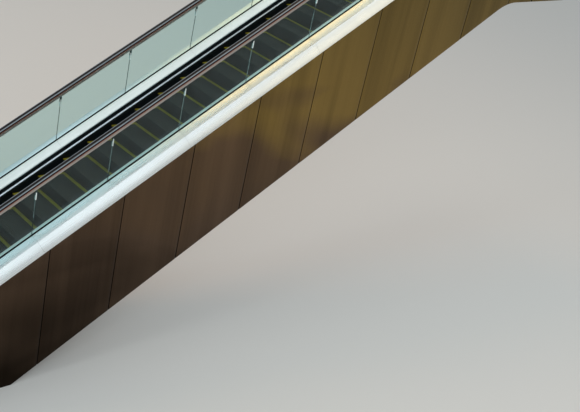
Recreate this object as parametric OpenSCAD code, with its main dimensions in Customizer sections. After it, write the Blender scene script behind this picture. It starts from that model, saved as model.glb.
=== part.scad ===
// Glass-sided escalator with a 30 degree incline, both landings and a clad truss.
// X runs up the incline, Y across the steps to the left, Z up. Millimetres.
// The origin is the middle of the lower bearing's underside, on the ground.

/* [Travel] */
// Height between the two landing floors
rise = 6000; // [4500:50:7000]
// Angle of the incline
incline = 30; // [27:0.5:32]
// Height of a landing floor above the ground that carries the lower end
landing_h = 60; // [50:5:120]
// Plan distance from the lower truss end to the lower comb
landing_run_low = 1190; // [1100:10:1500]
// Plan distance from the lower comb to the working point of the step line
flat_run_low = 1150; // [1100:10:1500]
// Plan distance from the upper working point to the upper comb
flat_run_up = 1150; // [1100:10:1500]
// Plan distance from the upper comb to the upper truss end
landing_run_up = 1250; // [1150:10:1500]

/* [Steps] */
// Width of a step
step_w = 1000; // [800:200:1000]
// Step pitch along the chain, which is also the riser's radius
step_pitch = 405; // [400:1:410]
// Place of the first step's nose along the step line from the lower comb
step_phase = 205; // [10:5:395]
// Running gap between a tread's rear edge and the next riser
step_gap = 5; // [3:0.5:6]
// Thickness of the tread plate with its cleats
tread_t = 36; // [30:1:50]
// Thickness of the riser plate with its cleats
riser_t = 26; // [20:1:35]
// Height of the arch between a bracket's two feet
bracket_arch = 20; // [15:1:40]
// Thickness of the cheek brackets under a step
bracket_t = 24; // [16:1:40]
// Bend radius of the step line at the lower landing
step_r_low = 1500; // [1000:50:2000]
// Bend radius of the step line at the upper landing
step_r_up = 1500; // [1000:50:2000]
// Depth of the step tracks below the step line, measured square to it
track_depth = 330; // [300:5:400]
// Distance of a step's front wheels behind its nose
wheel_front = 120; // [90:5:160]
// Distance of a step's rear wheels behind its nose
wheel_rear = 325; // [290:5:345]
// Width of the yellow insert along a tread's rear edge
insert_rear_w = 56; // [40:1:60]
// Length of the side inserts forward of the rear insert
insert_side_l = 342; // [200:1:342]
// Thickness of the side inserts between their cleats
insert_web = 2; // [1:0.5:3]
// Number of cleats across a tread
cleat_n = 28; // [16:1:40]
// Width of a cleat
cleat_w = 18; // [10:1:20]
// Height of a cleat
cleat_h = 11; // [9:0.5:13]
// Depth of the cleats' common root in the tread plate
cleat_root = 4; // [3:0.5:8]

/* [Balustrade] */
// Distance between the middles of the two glass walls
glass_centres = 1252; // [1230:1:1300]
// Thickness of the balustrade glass
glass_t = 10; // [8:1:12]
// Height of the deck line above the step line, measured plumb
deck_h = 245; // [220:5:300]
// Gap between two sheets of glass
glass_joint = 5; // [3:1:8]
// Plan place of the first glass joint
glass_start = 1454; // [1300:1:1700]
// Plan length of a sheet of glass
glass_l = 1000; // [800:50:1300]
// Panels of glass to one length of deck
deck_panels = 2; // [1:1:3]
// Length of the clip in a glass joint
clip_l = 26; // [16:1:36]
// Height of the clip in a glass joint
clip_h = 70; // [40:1:90]
// Thickness of the clip's cheeks
clip_t = 3; // [2:0.5:5]
// Depth of the glass below the deck line, in its channel
glass_seat = 90; // [60:5:110]
// Bend radius of the deck line at the lower landing
deck_r_low = 1300; // [1000:50:1800]
// Bend radius of the deck line at the upper landing
deck_r_up = 1750; // [1000:50:2200]
// Side clearance between a step and the skirt
skirt_gap = 4; // [2:0.5:4]
// Thickness of a skirt panel
skirt_t = 8; // [4:1:12]
// Height of a skirt panel, from the inner deck's lip downwards
skirt_h = 350; // [340:5:380]
// Fall of the inner deck between the glass and the skirt
inner_fall = 52; // [40:1:70]
// Fall of the outer deck between the glass and its crease
outer_fall = 26; // [20:1:60]
// Distance from the glass to the outer deck's crease
crease_out = 141; // [100:1:150]
// Distance from the glass to the outer deck's lower edge
deck_edge_out = 200; // [170:1:220]
// Fall of the outer deck from the glass to its lower edge
deck_edge_fall = 183; // [150:1:220]
// Sheet thickness of the decks
deck_t = 3; // [2:0.5:5]
// Width of the decks' level ledges along the gaskets
deck_ledge = 6; // [4:0.5:10]
// Depth of the inner deck's lip over the skirt
deck_lip = 14; // [8:1:20]
// Width of the outer deck's return at its lower edge
deck_return = 25; // [15:1:40]
// Height of the brush carrier above the step line, measured square to it
brush_up = 62; // [45:1:80]
// Height of the brush carrier
brush_h = 26; // [18:1:34]
// Reach of the brush carrier over the step
brush_out = 18; // [10:1:24]
// Fall of the brush carrier's slanted faces
brush_slant = 7; // [4:0.5:9]
// Reach of the bristles past their carrier
bristle_out = 24; // [15:1:30]
// Thickness of the row of bristles
bristle_t = 6; // [3:1:8]
// Droop of the bristles' tips below their root
bristle_droop = 10; // [4:1:12]
// Width of the dark gasket on each side of the glass
gasket_w = 8; // [5:1:12]
// Height of the gasket above the deck line
gasket_up = 4; // [2:1:10]

/* [Handrail] */
// Height of the handrail's underside above the step line on the incline, measured plumb
rail_inc = 938; // [880:2:1000]
// Height of the handrail's underside above a landing floor
rail_flat = 924; // [860:2:1000]
// Width of the handrail
rail_w = 80; // [76:1:84]
// Height of the handrail above its lips
rail_h = 36; // [30:1:42]
// Wall of the handrail's section
rail_wall = 10; // [8:1:12]
// Thickness of the handrail's lips
rail_lip = 9; // [7:0.5:11]
// Radius of the handrail's upper edges
rail_soft = 14.5; // [13:0.5:17]
// Bend radius of the handrail at the lower landing
rail_r_low = 1100; // [900:50:1500]
// Bend radius of the handrail at the upper landing
rail_r_up = 2100; // [1200:50:2600]
// Radius of the newel bends
newel_r = 360; // [340:5:370]
// Plan distance from a comb out to the middle of its newel bend
newel_reach = 360; // [300:5:420]
// Straight run of handrail between the newel bend and its inlet
inlet_run = 40; // [20:5:80]
// Length of the black boot where the handrail enters the newel base
inlet_boot_l = 24; // [12:1:34]
// Rim of the boot round the handrail
inlet_rim = 14; // [8:1:20]
// Clearance of the handrail in its boot
boot_gap = 1; // [0.5:0.5:3]
// Clearance of the handrail in the newel base's front
front_gap = 4; // [2:0.5:6]
// Width of the guide profile that carries the handrail
guide_w = 34; // [28:1:44]
// Height of the guide profile below the handrail's lips
guide_h = 48; // [40:1:80]
// Depth of the glass in the guide profile
guide_grip = 30; // [20:1:36]
// Running clearance between the guide profile and the handrail
guide_gap = 0.8; // [0.6:0.1:1.2]

/* [Housing] */
// Plumb depth of the soffit below the step line on the incline
soffit_inc = 1720; // [1600:5:1900]
// Depth of the soffit below the upper landing floor
soffit_flat = 1250; // [1100:10:1500]
// Bend radius of the soffit at the upper landing
soffit_r_up = 900; // [500:50:1500]
// Plan length of a cladding panel
panel_l = 1000; // [800:50:1300]
// Plan place of the first cladding joint
panel_start = 1626; // [1200:1:1900]
// Open joint between two cladding panels
panel_joint = 10; // [6:1:16]
// Thickness of a cladding panel
panel_t = 20; // [12:1:30]
// Set-back of the cladding's face behind the outer deck's lower edge
panel_setback = 16; // [8:1:30]
// Thickness of the soffit panels
soffit_t = 12; // [8:1:20]
// Open joint between two lengths of skirt
skirt_joint = 2; // [1:0.5:4]
// Thickness of the end plates
end_t = 12; // [8:1:20]

/* [Landings] */
// Thickness of a floor plate
floor_t = 30; // [20:1:40]
// Plan length of a comb carrier plate
comb_plate_l = 480; // [400:10:600]
// Plan length of a comb segment with its teeth
comb_l = 190; // [150:5:220]
// Length of the comb teeth
tooth_l = 60; // [40:5:90]
// Side clearance of a comb tooth between two cleats
tooth_gap = 2.5; // [1:0.5:4]
// Height of a comb tooth's root above the treads
tooth_rise = 5; // [2:1:8]
// Depth of a comb tooth's tip below the treads
tooth_dip = 7; // [4:0.5:8]
// Open joint between two plates of a landing
plate_gap = 3; // [2:0.5:5]
// Side clearance of the combs and their plates between the skirts
comb_gap = 1; // [0.5:0.5:3]
// Width of the frame round a landing
frame_w = 40; // [25:1:60]
// Depth of the upper landing's frame
frame_h = 60; // [50:5:120]
// Thickness of the pan under the lower steps
pan_t = 6; // [4:1:10]

/* [Supports] */
// Length of a bearing's foot, which ends at the truss
bearing_l = 120; // [100:5:200]
// Thickness of the bearing angles
bearing_t = 20; // [15:1:30]
// Width of the bearing angles
bearing_w = 1480; // [1200:10:1500]
// Height of the upper bearing's foot below the upper landing floor
bearing_drop = 160; // [120:5:250]
// Radius of the anchor holes in the bearings
anchor_r = 11; // [8:0.5:14]
// Spacing of the anchor holes
anchor_pitch = 600; // [400:10:650]

/* [Hidden] */

// Clearance between pieces that lie on each other
seat = 0.3;
// Open joint between two lengths of a deck, channel or guide
length_gap = 0.8;
// Straight pieces that stand for a newel bend, another bend and a corner of the handrail
newel_n = 26;
rail_bend_n = 12;
rail_corner_n = 3;
// Straight pieces that stand for a riser's curve
riser_n = 6;
// Straight pieces that stand for a bend in a flat outline
bend_n = 16;
// Roundness of circles
$fn = 48;

slope = tan(incline);
end_low_x = bearing_l / 2;
comb_low_x = end_low_x + landing_run_low;
low_x = comb_low_x + flat_run_low;
up_x = low_x + rise / slope;
comb_up_x = up_x + flat_run_up;
end_up_x = comb_up_x + landing_run_up;
low_floor = landing_h;
up_floor = landing_h + rise;

// A line along the escalator is [height on the flats, plumb height on the incline,
// lower bend radius, upper bend radius], with heights counted from the step line.
step_line = [0, 0, step_r_low, step_r_up];
deck_line = [deck_h, deck_h, deck_r_low, deck_r_up];
rail_line = [rail_flat, rail_inc, rail_r_low, rail_r_up];

// The line that runs h above another, measured square to it
function beside(line, h) =
    [line[0] + h, line[1] + h / cos(incline), line[2] - h, line[3] + h];
function point_shift(line) = (line[0] - line[1]) / slope;
function tangent_low(line) = line[2] * tan(incline / 2);
function tangent_up(line) = line[3] * tan(incline / 2);
function low_z(line) = low_floor + line[0];
function up_z(line) = up_floor + line[0];
function low_centre(line) =
    [low_x + point_shift(line) - tangent_low(line), low_z(line) + line[2]];
function up_centre(line) =
    [up_x + point_shift(line) + tangent_up(line), up_z(line) - line[3]];
function low_bend(line) = [
    for (i = [0:bend_n])
        let (turn = incline * i / bend_n - 90)
        low_centre(line) + line[2] * [cos(turn), sin(turn)]
];
function up_bend(line) = [
    for (i = [0:bend_n])
        let (turn = 90 + incline * (1 - i / bend_n))
        up_centre(line) + line[3] * [cos(turn), sin(turn)]
];
function points(line, x0, x1) =
    concat([[x0, low_z(line)]], low_bend(line), up_bend(line), [[x1, up_z(line)]]);
function backwards(list) = [for (i = [len(list) - 1:-1:0]) list[i]];
function incline_end(line) = low_bend(line)[bend_n];
function incline_run(line) = norm(up_bend(line)[0] - low_bend(line)[bend_n]);

// Height of a line at a plan place
function line_z(line, x) =
    x < low_centre(line)[0] ? low_z(line)
    : x < incline_end(line)[0]
        ? low_centre(line)[1] - sqrt(line[2] * line[2] - pow(x - low_centre(line)[0], 2))
    : x < up_bend(line)[0][0] ? incline_end(line)[1] + (x - incline_end(line)[0]) * slope
    : x < up_centre(line)[0]
        ? up_centre(line)[1] + sqrt(line[3] * line[3] - pow(x - up_centre(line)[0], 2))
    : up_z(line);

// Point of the step line at a length s from the lower comb
bend_low_s = low_centre(step_line)[0] - comb_low_x;
incline_s = bend_low_s + step_r_low * incline * PI / 180;
bend_up_s = incline_s + incline_run(step_line);
flat_up_s = bend_up_s + step_r_up * incline * PI / 180;
last_s = flat_up_s + comb_up_x - up_centre(step_line)[0];
function step_point(s) =
    s < bend_low_s ? [comb_low_x + s, low_floor]
    : s < incline_s
        ? let (turn = (s - bend_low_s) / step_r_low * 180 / PI - 90)
        low_centre(step_line) + step_r_low * [cos(turn), sin(turn)]
    : s < bend_up_s
        ? incline_end(step_line) + (s - incline_s) * [cos(incline), sin(incline)]
    : s < flat_up_s
        ? let (turn = 90 + incline - (s - bend_up_s) / step_r_up * 180 / PI)
        up_centre(step_line) + step_r_up * [cos(turn), sin(turn)]
    : [up_centre(step_line)[0] + s - flat_up_s, up_floor];

half_channel = step_w / 2 + skirt_gap;
comb_side = half_channel - comb_gap;
glass_y = glass_centres / 2;
channel_half = glass_t / 2 + gasket_w;
newel_low_x = comb_low_x - newel_reach;
newel_up_x = comb_up_x + newel_reach;
newel_low = [newel_low_x, low_z(rail_line) - newel_r];
newel_up = [newel_up_x, up_z(rail_line) - newel_r];
base_low_x = newel_low_x + inlet_run;
base_up_x = newel_up_x - inlet_run;
deck_low_x = base_low_x + end_t + seat;
deck_up_x = base_up_x - end_t - seat;
panel_y = glass_y + deck_edge_out - panel_setback;
core_y = panel_y - panel_t - seat;
skirt_back = half_channel + skirt_t + seat;
track_line = beside(step_line, -track_depth);
soffit_line = [-soffit_flat, -soffit_inc, soffit_r_up, soffit_r_up];
core_line = beside(soffit_line, soffit_t + seat);
deck_seat_line = beside(deck_line, -deck_edge_fall - seat);
glass_top_line = beside(rail_line, guide_grip - guide_h);
glass_foot_line = beside(deck_line, -glass_seat);
rail_side = rail_w / 2;
rail_hook = rail_side - 2 * rail_wall;
rail_corner = [rail_side - rail_soft, rail_h - rail_soft];
glass_newel_r = newel_r + guide_grip - guide_h;
glass_joints = [for (x = [glass_start:glass_l:newel_up_x - newel_r]) x];
clip_line = beside(rail_line, -guide_h - seat);
cleat_pitch = (step_w - cleat_w) / (cleat_n - 1);
insert_side_w = cleat_pitch + cleat_w;
panel_joints = [for (x = [panel_start:panel_l:end_up_x - panel_l / 4]) x];
ground_contact_x = low_x + (soffit_inc - landing_h) / slope;
core_contact_x = low_x + (-core_line[1] - landing_h) / slope;
comb_plate_low_x = comb_low_x - comb_l - plate_gap - comb_plate_l;
comb_plate_up_x = comb_up_x + comb_l + plate_gap;

// A section swept along a line. The section's x is Y, its y is the height square
// to the line.
module straight(x, z, run, turn) {
    translate([x, 0, z]) rotate([0, -turn, 0]) rotate([90, 0, 90])
        linear_extrude(run) children();
}

// Bend with the section's top towards the middle, clockwise from the angle start
module bend_in(centre, r, start, sweep) {
    translate([centre[0], 0, centre[1]]) rotate([0, -start, 0]) rotate([-90, 0, 0])
        rotate_extrude(angle = sweep) translate([r, 0]) rotate(90) children();
}

// Bend with the section's top outwards, counter-clockwise from the angle start
module bend_out(centre, r, start, sweep) {
    translate([centre[0], 0, centre[1]]) rotate([0, -start, 0]) rotate([90, 0, 0])
        rotate_extrude(angle = sweep) translate([r, 0]) rotate(-90) children();
}

// Lengths with an open joint wherever a straight meets a bend, and at the plan places
// in joints on the incline
module along(line, x0, x1, joints = []) {
    ends = [
        incline_end(line)[0],
        for (x = joints) if (x > incline_end(line)[0] && x < up_bend(line)[0][0]) x,
        up_bend(line)[0][0]
    ];
    straight(x0, low_z(line), low_centre(line)[0] - length_gap - x0, 0) children();
    bend_in(low_centre(line), line[2], incline - 90, incline) children();
    for (i = [0:len(ends) - 2])
        straight(
            ends[i] + length_gap * cos(incline), line_z(line, ends[i]) + length_gap * sin(incline),
            (ends[i + 1] - ends[i]) / cos(incline) - 2 * length_gap, incline
        ) children();
    bend_out(up_centre(line), line[3], 90, incline) children();
    straight(up_centre(line)[0] + length_gap, up_z(line),
        x1 - up_centre(line)[0] - length_gap, 0) children();
}

// The handrail's line with both newel bends and the returns to the inlets
module round_the_newels(inlet) {
    along(rail_line, newel_low_x + length_gap, newel_up_x - length_gap) children();
    bend_out(newel_low, newel_r, 90, 180) children();
    bend_out(newel_up, newel_r, -90, 180) children();
    straight(newel_low_x + inlet, newel_low[1] - newel_r, inlet - length_gap, 180) children();
    straight(newel_up_x - length_gap, newel_up[1] - newel_r, inlet - length_gap, 180)
        children();
}

// Places along the handrail from inlet to inlet, each with its outward direction
function ray(turn) = [cos(turn), sin(turn)];
function handrail_places(inlet) = concat(
    [[newel_low + [inlet, -newel_r], ray(-90)]],
    [for (i = [0:newel_n]) let (way = ray(270 - 180 * i / newel_n))
        [newel_low + newel_r * way, way]],
    [for (i = [0:rail_bend_n]) let (way = ray(incline * i / rail_bend_n - 90))
        [low_centre(rail_line) + rail_r_low * way, -way]],
    [for (i = [0:rail_bend_n]) let (way = ray(90 + incline * (1 - i / rail_bend_n)))
        [up_centre(rail_line) + rail_r_up * way, way]],
    [for (i = [0:newel_n]) let (way = ray(90 - 180 * i / newel_n))
        [newel_up + newel_r * way, way]],
    [[newel_up + [-inlet, -newel_r], ray(-90)]]
);

// A strip, given by its outer and inner edges, carried through the places as one solid.
// Both edges have the same number of points, so the ends close with four-sided faces.
module loft(outer, inner, places) {
    outline = concat(outer, backwards(inner));
    n = len(outline);
    m = len(places);
    polyhedron(
        points = [for (at = places, q = outline)
            [at[0][0] + at[1][0] * q[1], q[0], at[0][1] + at[1][1] * q[1]]],
        faces = concat(
            [for (i = [0:n / 2 - 2]) [i, i + 1, n - 2 - i, n - 1 - i]],
            [for (i = [0:n / 2 - 2], k = (m - 1) * n)
                [k + n - 1 - i, k + n - 2 - i, k + i + 1, k + i]],
            [for (k = [0:m - 2], i = [0:n - 1])
                [k * n + i, (k + 1) * n + i, (k + 1) * n + (i + 1) % n, k * n + (i + 1) % n]]
        )
    );
}

// An outline in XZ given its thickness in Y, from y to y + t
module slab(y, t) {
    translate([0, y + t, 0]) rotate([90, 0, 0]) linear_extrude(t) children();
}

// A section in YZ given its length in X, from x to x + l
module bar(x, l) {
    translate([x, 0, 0]) rotate([90, 0, 90]) linear_extrude(l) children();
}

// Left pieces as drawn, right pieces mirrored in the middle plane
module on_side(left) {
    if (left) children();
    else mirror([0, 1, 0]) children();
}

// A sheet of thickness t folded along points, on their left where t is positive
function unit(v) = v / norm(v);
function left_of(v) = [-v[1], v[0]];
function offset_side(list, t) = [
    for (i = [0:len(list) - 1])
        let (
            after = unit(list[min(i + 1, len(list) - 1)] - list[min(i, len(list) - 2)]),
            before = i == 0 ? after : unit(list[i] - list[i - 1]),
            normal = unit(left_of(before) + left_of(after))
        )
        list[i] + normal * t / (normal * left_of(after))
];
module folded(list, t) {
    polygon(concat(list, backwards(offset_side(list, t))));
}

// The outline between two lines
module between(top, bottom, x0, x1) {
    polygon(concat(points(top, x0, x1), backwards(points(bottom, x0, x1))));
}

// The outline from a top line down to an underside, which meets the ground at contact
module body_outline(top, under, contact, x0, x1) {
    intersection() {
        polygon(concat(
            points(top, x0, x1), [[x1, up_z(under)]], backwards(up_bend(under)),
            [[contact, 0], [x0, 0]]
        ));
        translate([x0, 0]) square([x1 - x0, up_floor + rail_inc]);
    }
}

module rectangle(x0, y0, x1, y1) {
    translate([x0, y0]) square([x1 - x0, y1 - y0]);
}

// Plumb open joints in an outline in XZ
module open_joints(places, gap) {
    for (x = places) rectangle(x - gap / 2, -rise, x + gap / 2, 2 * rise);
}

// The core with its pan, and beside it two walls behind the skirts that stand on it
module truss_housing() {
    top_z = up_floor - frame_h - seat;
    pan_y = half_channel + skirt_t;
    color("dimgray") {
        slab(-core_y, 2 * core_y) {
            body_outline(track_line, core_line, core_contact_x, deck_low_x, deck_up_x);
            rectangle(base_up_x, up_z(core_line), end_up_x - end_t - seat, top_z);
        }
        slab(-pan_y, 2 * pan_y) rectangle(comb_low_x, 0, core_contact_x, pan_t);
        slab(seat - half_channel, 2 * (half_channel - seat))
            rectangle(comb_up_x, up_z(core_line), base_up_x, top_z);
        for (left = [false, true]) on_side(left) slab(skirt_back, core_y - skirt_back)
            difference() {
                body_outline(
                    deck_seat_line, core_line, core_contact_x, deck_low_x, deck_up_x);
                body_outline(beside(track_line, seat), core_line, core_contact_x,
                    deck_low_x - 1, deck_up_x + 1);
            }
    }
}

module cladding(left) {
    color("saddlebrown") on_side(left) slab(panel_y - panel_t, panel_t)
        difference() {
            union() {
                body_outline(
                    deck_seat_line, soffit_line, ground_contact_x, deck_low_x, deck_up_x);
                rectangle(base_up_x + panel_joint, up_z(soffit_line),
                    end_up_x - end_t - seat, up_floor - frame_h - seat);
            }
            open_joints(panel_joints, panel_joint);
        }
}

module soffit_panels() {
    inner = beside(soffit_line, soffit_t);
    color("dimgray") slab(-core_y, 2 * core_y)
        difference() {
            intersection() {
                polygon(concat(
                    [[ground_contact_x, 0]], up_bend(soffit_line),
                    [[end_up_x - end_t - seat, up_z(soffit_line)],
                    [end_up_x - end_t - seat, up_z(inner)]],
                    backwards(up_bend(inner)),
                    [[ground_contact_x - soffit_t / sin(incline), 0]]
                ));
                rectangle(0, 0, end_up_x, up_floor);
            }
            open_joints(panel_joints, panel_joint);
        }
}

module end_plate_lower() {
    color("gray") translate([end_low_x, -panel_y, 0]) cube([end_t, 2 * panel_y, landing_h]);
}

module end_plate_upper() {
    depth = -up_z(soffit_line) + up_floor;
    color("gray") translate([end_up_x - end_t, -panel_y, up_floor - depth])
        cube([end_t, 2 * panel_y, depth]);
}

module anchor_holes(x, z) {
    for (side = [-1, 1])
        translate([x, side * anchor_pitch / 2, z])
            cylinder(h = 4 * bearing_t, r = anchor_r, center = true);
}

module bearing_lower() {
    foot_x = end_low_x - bearing_l;
    color("gray") difference() {
        slab(-bearing_w / 2, bearing_w) {
            rectangle(foot_x, 0, end_low_x, bearing_t);
            rectangle(end_low_x - bearing_t, 0, end_low_x, landing_h);
        }
        anchor_holes(foot_x + (bearing_l - bearing_t) / 2, 0);
    }
}

module bearing_upper() {
    foot_z = up_floor - bearing_drop;
    color("gray") difference() {
        slab(-bearing_w / 2, bearing_w) {
            rectangle(end_up_x, foot_z, end_up_x + bearing_l, foot_z + bearing_t);
            rectangle(end_up_x, foot_z, end_up_x + bearing_t, up_floor);
        }
        anchor_holes(end_up_x + (bearing_l + bearing_t) / 2, foot_z);
    }
}

// Joints of a deck, which lie at glass joints, from the one numbered first
function deck_joints(first) =
    [for (i = [first:deck_panels:len(glass_joints) - 1]) glass_joints[i]];

module outer_deck(left) {
    fold = [
        [glass_y + channel_half + seat, 0], [glass_y + channel_half + deck_ledge, 0],
        [glass_y + crease_out, -outer_fall],
        [glass_y + deck_edge_out, -deck_edge_fall],
        [glass_y + deck_edge_out - deck_return, -deck_edge_fall]
    ];
    color("silver") on_side(left)
        along(deck_line, deck_low_x, deck_up_x, deck_joints(2)) folded(fold, -deck_t);
}

module inner_deck(left) {
    fold = [
        [glass_y - channel_half - seat, 0], [glass_y - channel_half - deck_ledge, 0],
        [half_channel, -inner_fall],
        [half_channel, -inner_fall - deck_lip]
    ];
    color("silver") on_side(left)
        along(deck_line, deck_low_x, deck_up_x, deck_joints(1)) folded(fold, deck_t);
}

module skirt(left) {
    top = beside(deck_line, -inner_fall - deck_lip - seat);
    color("black") on_side(left) slab(half_channel, skirt_t)
        difference() {
            intersection() {
                between(top, beside(top, -skirt_h), deck_low_x, deck_up_x);
                rectangle(0, pan_t + seat, end_up_x, up_floor + rise);
            }
            open_joints(deck_joints(2), skirt_joint);
        }
}

module skirt_brush(left) {
    root = half_channel - seat;
    face = half_channel - brush_out;
    color("darkgray") on_side(left)
        along(beside(step_line, brush_up), comb_low_x, comb_up_x)
            polygon([
                [root, 0], [face, brush_slant], [face, brush_h - brush_slant], [root, brush_h]
            ]);
}

module skirt_bristles(left) {
    root = half_channel - brush_out - seat;
    foot = (brush_h - bristle_t) / 2;
    color("black") on_side(left)
        along(beside(step_line, brush_up), comb_low_x, comb_up_x)
            polygon([
                [root, foot], [root, foot + bristle_t],
                [root - bristle_out, foot + bristle_t - bristle_droop],
                [root - bristle_out, foot - bristle_droop]
            ]);
}

module glass_channel(left) {
    outer = channel_half;
    color("black") on_side(left) translate([0, glass_y, 0])
        along(deck_line, deck_low_x, deck_up_x) difference() {
            rectangle(-outer, -deck_edge_fall, outer, gasket_up);
            rectangle(-glass_t / 2 - seat, -glass_seat - seat, glass_t / 2 + seat, gasket_up + 1);
        }
}

module glass_outline() {
    difference() {
        union() {
            between(glass_top_line, glass_foot_line, newel_low_x, newel_up_x);
            translate(newel_low) circle(glass_newel_r, $fn = 96);
            translate(newel_up) circle(glass_newel_r, $fn = 96);
        }
        rectangle(newel_low_x - newel_r, 0, deck_low_x, newel_low[1] - glass_newel_r);
        rectangle(deck_up_x, up_floor - newel_r, newel_up_x + newel_r,
            newel_up[1] - glass_newel_r);
    }
}

module glass(left) {
    color("lightcyan", 0.4) on_side(left) slab(glass_y - glass_t / 2, glass_t)
        difference() {
            glass_outline();
            open_joints(glass_joints, glass_joint);
        }
}

// Clips of H section that join two sheets of glass under the handrail guide
module glass_clips(left) {
    half = clip_l / 2;
    cheek = glass_t / 2 + seat;
    web = glass_joint / 2 - seat;
    color("silver") on_side(left) for (x = glass_joints) {
        under = min(line_z(clip_line, x - half), line_z(clip_line, x + half));
        translate([x, glass_y, under - clip_h]) linear_extrude(clip_h) {
            rectangle(-half, cheek, half, cheek + clip_t);
            rectangle(-half, -cheek - clip_t, half, -cheek);
            rectangle(-web, -cheek, web, cheek);
        }
    }
}

// The guide is T-shaped above the glass: its neck passes between the handrail's lips
module guide_section() {
    neck = rail_hook - guide_gap;
    head = rail_side - rail_soft;
    head_foot = rail_lip + guide_gap;
    difference() {
        union() {
            rectangle(-guide_w / 2, -guide_h, guide_w / 2, -seat);
            rectangle(-neck, -seat, neck, head_foot);
            rectangle(-head, head_foot, head, rail_h - rail_wall - guide_gap);
        }
        rectangle(-glass_t / 2 - seat, -guide_h - 1, glass_t / 2 + seat,
            guide_grip - guide_h + seat);
    }
}

// The guide ends at the boots
module handrail_guide(left) {
    color("gray") on_side(left) translate([0, glass_y, 0])
        round_the_newels(inlet_run - inlet_boot_l - 2 * guide_gap) guide_section();
}

// Edges of the handrail's section from one lip round the crown to the other
function across(list) = concat(list, [for (q = backwards(list)) [-q[0], q[1]]]);
function rail_arc(r) =
    [for (i = [0:rail_corner_n]) rail_corner + r * ray(90 * i / rail_corner_n)];
function rail_outer() = across(concat(
    [[rail_hook, 0], [rail_side - rail_wall / 2, 0], [rail_side, rail_wall / 2]],
    rail_arc(rail_soft)
));
function rail_inner() = across(concat(
    [[rail_hook, rail_lip], [rail_side - rail_wall, rail_lip],
        [rail_side - rail_wall, rail_lip + guide_gap]],
    rail_arc(rail_soft - rail_wall)
));

module handrail(left) {
    color("black") on_side(left) translate([0, glass_y, 0])
        loft(rail_outer(), rail_inner(), handrail_places(inlet_run + end_t));
}

// Outline in YZ of the returning handrail with a gap round it
module handrail_hole(return_z, gap) {
    rectangle(glass_y - rail_side - gap, return_z - rail_h - gap,
        glass_y + rail_side + gap, return_z + gap);
}

module newel_front(x, level, foot_z, return_z) {
    color("silver") for (left = [false, true]) on_side(left) bar(x, end_t)
        difference() {
            polygon([
                [half_channel, foot_z], [half_channel, level - inner_fall],
                [glass_y - channel_half, level], [glass_y + channel_half, level],
                [glass_y + crease_out, level - outer_fall],
                [glass_y + deck_edge_out, level - deck_edge_fall],
                [panel_y, level - deck_edge_fall], [panel_y, foot_z]
            ]);
            handrail_hole(return_z, front_gap);
            rectangle(glass_y - glass_t / 2 - seat, return_z,
                glass_y + glass_t / 2 + seat, level + 1);
        }
}

module handrail_inlets(x, return_z) {
    color("black") for (left = [false, true]) on_side(left) bar(x, inlet_boot_l)
        difference() {
            handrail_hole(return_z, inlet_rim);
            handrail_hole(return_z, boot_gap);
        }
}

// A step is drawn from its nose: X back over the tread, Z up from the cleats' tops.
// The riser's outer face is an arc of the step pitch about the tread's rear edge.
function riser(r, from, to) = [
    for (i = [0:riser_n])
        let (turn = from + (to - from) * i / riser_n)
        [step_pitch - r * cos(turn), -r * sin(turn)]
];
riser_inner_r = step_pitch - riser_t;
riser_end = asin(min(0.9, (step_pitch * sin(incline) + 2 * cleat_h) / step_pitch));
tread_rear = step_pitch - step_gap;
insert_front = tread_rear - insert_rear_w;
cleat_front = 1;

module step_shell() {
    polygon(concat(
        riser(step_pitch, asin(cleat_h / step_pitch), riser_end),
        riser(riser_inner_r, riser_end, asin(tread_t / riser_inner_r)),
        [[tread_rear, -tread_t], [tread_rear, -cleat_h]]
    ));
}

// Cheek bracket under a step whose nose is at a point, down to the tracks at its wheels
module step_bracket(nose) {
    front_z = max(line_z(track_line, nose[0] + wheel_front), pan_t) + seat - nose[1];
    rear_z = max(line_z(track_line, nose[0] + wheel_rear), pan_t) + seat - nose[1];
    polygon([
        [riser_t / 2, -riser_t], [2 * riser_t, front_z / 2], [wheel_front, front_z],
        [(wheel_front + wheel_rear) / 2, (front_z + rear_z) / 2 + bracket_arch],
        [wheel_rear, rear_z], [tread_rear - step_gap, -riser_t]
    ]);
}

// Cleats numbered from first to last in YZ, on a root from side to side
function cleat_y(i) = i * cleat_pitch - step_w / 2;
module cleats(first, last, side) {
    polygon(concat(
        [[-side, -cleat_h - cleat_root], [-side, -cleat_h]],
        [for (i = [first:last], q = [[0, -cleat_h], [0, 0], [cleat_w, 0], [cleat_w, -cleat_h]])
            [cleat_y(i) + q[0], q[1]]],
        [[side, -cleat_h], [side, -cleat_h - cleat_root]]
    ));
}

function nose_of(k) = step_point(step_phase + k * step_pitch);
last_step = ceil((last_s - step_phase) / step_pitch) - 1;

// Whether a step lies clear of the pan and of both combs
function is_free(k) = nose_of(k)[1] > step_pitch && k < last_step;

// Room for the steps between the combs and over the pan
module step_room() {
    translate([comb_low_x + seat, -step_w, pan_t + seat])
        cube([comb_up_x - comb_low_x - 2 * seat, 2 * step_w, up_floor]);
}

module one_step(k) {
    nose = nose_of(k);
    side = step_w / 2 - insert_side_w - seat;
    cheek = step_w / 2 - bracket_t - step_gap;
    translate([nose[0], 0, nose[1]]) {
        slab(-step_w / 2, step_w) step_shell();
        for (left = [false, true]) on_side(left) slab(cheek, bracket_t) step_bracket(nose);
        bar(cleat_front, insert_front - seat - cleat_front) cleats(2, cleat_n - 3, side);
    }
}

module steps() {
    color("darkslategray") for (k = [-1:last_step]) {
        if (is_free(k)) one_step(k);
        else intersection() {
            one_step(k);
            step_room();
        }
    }
}

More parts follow.
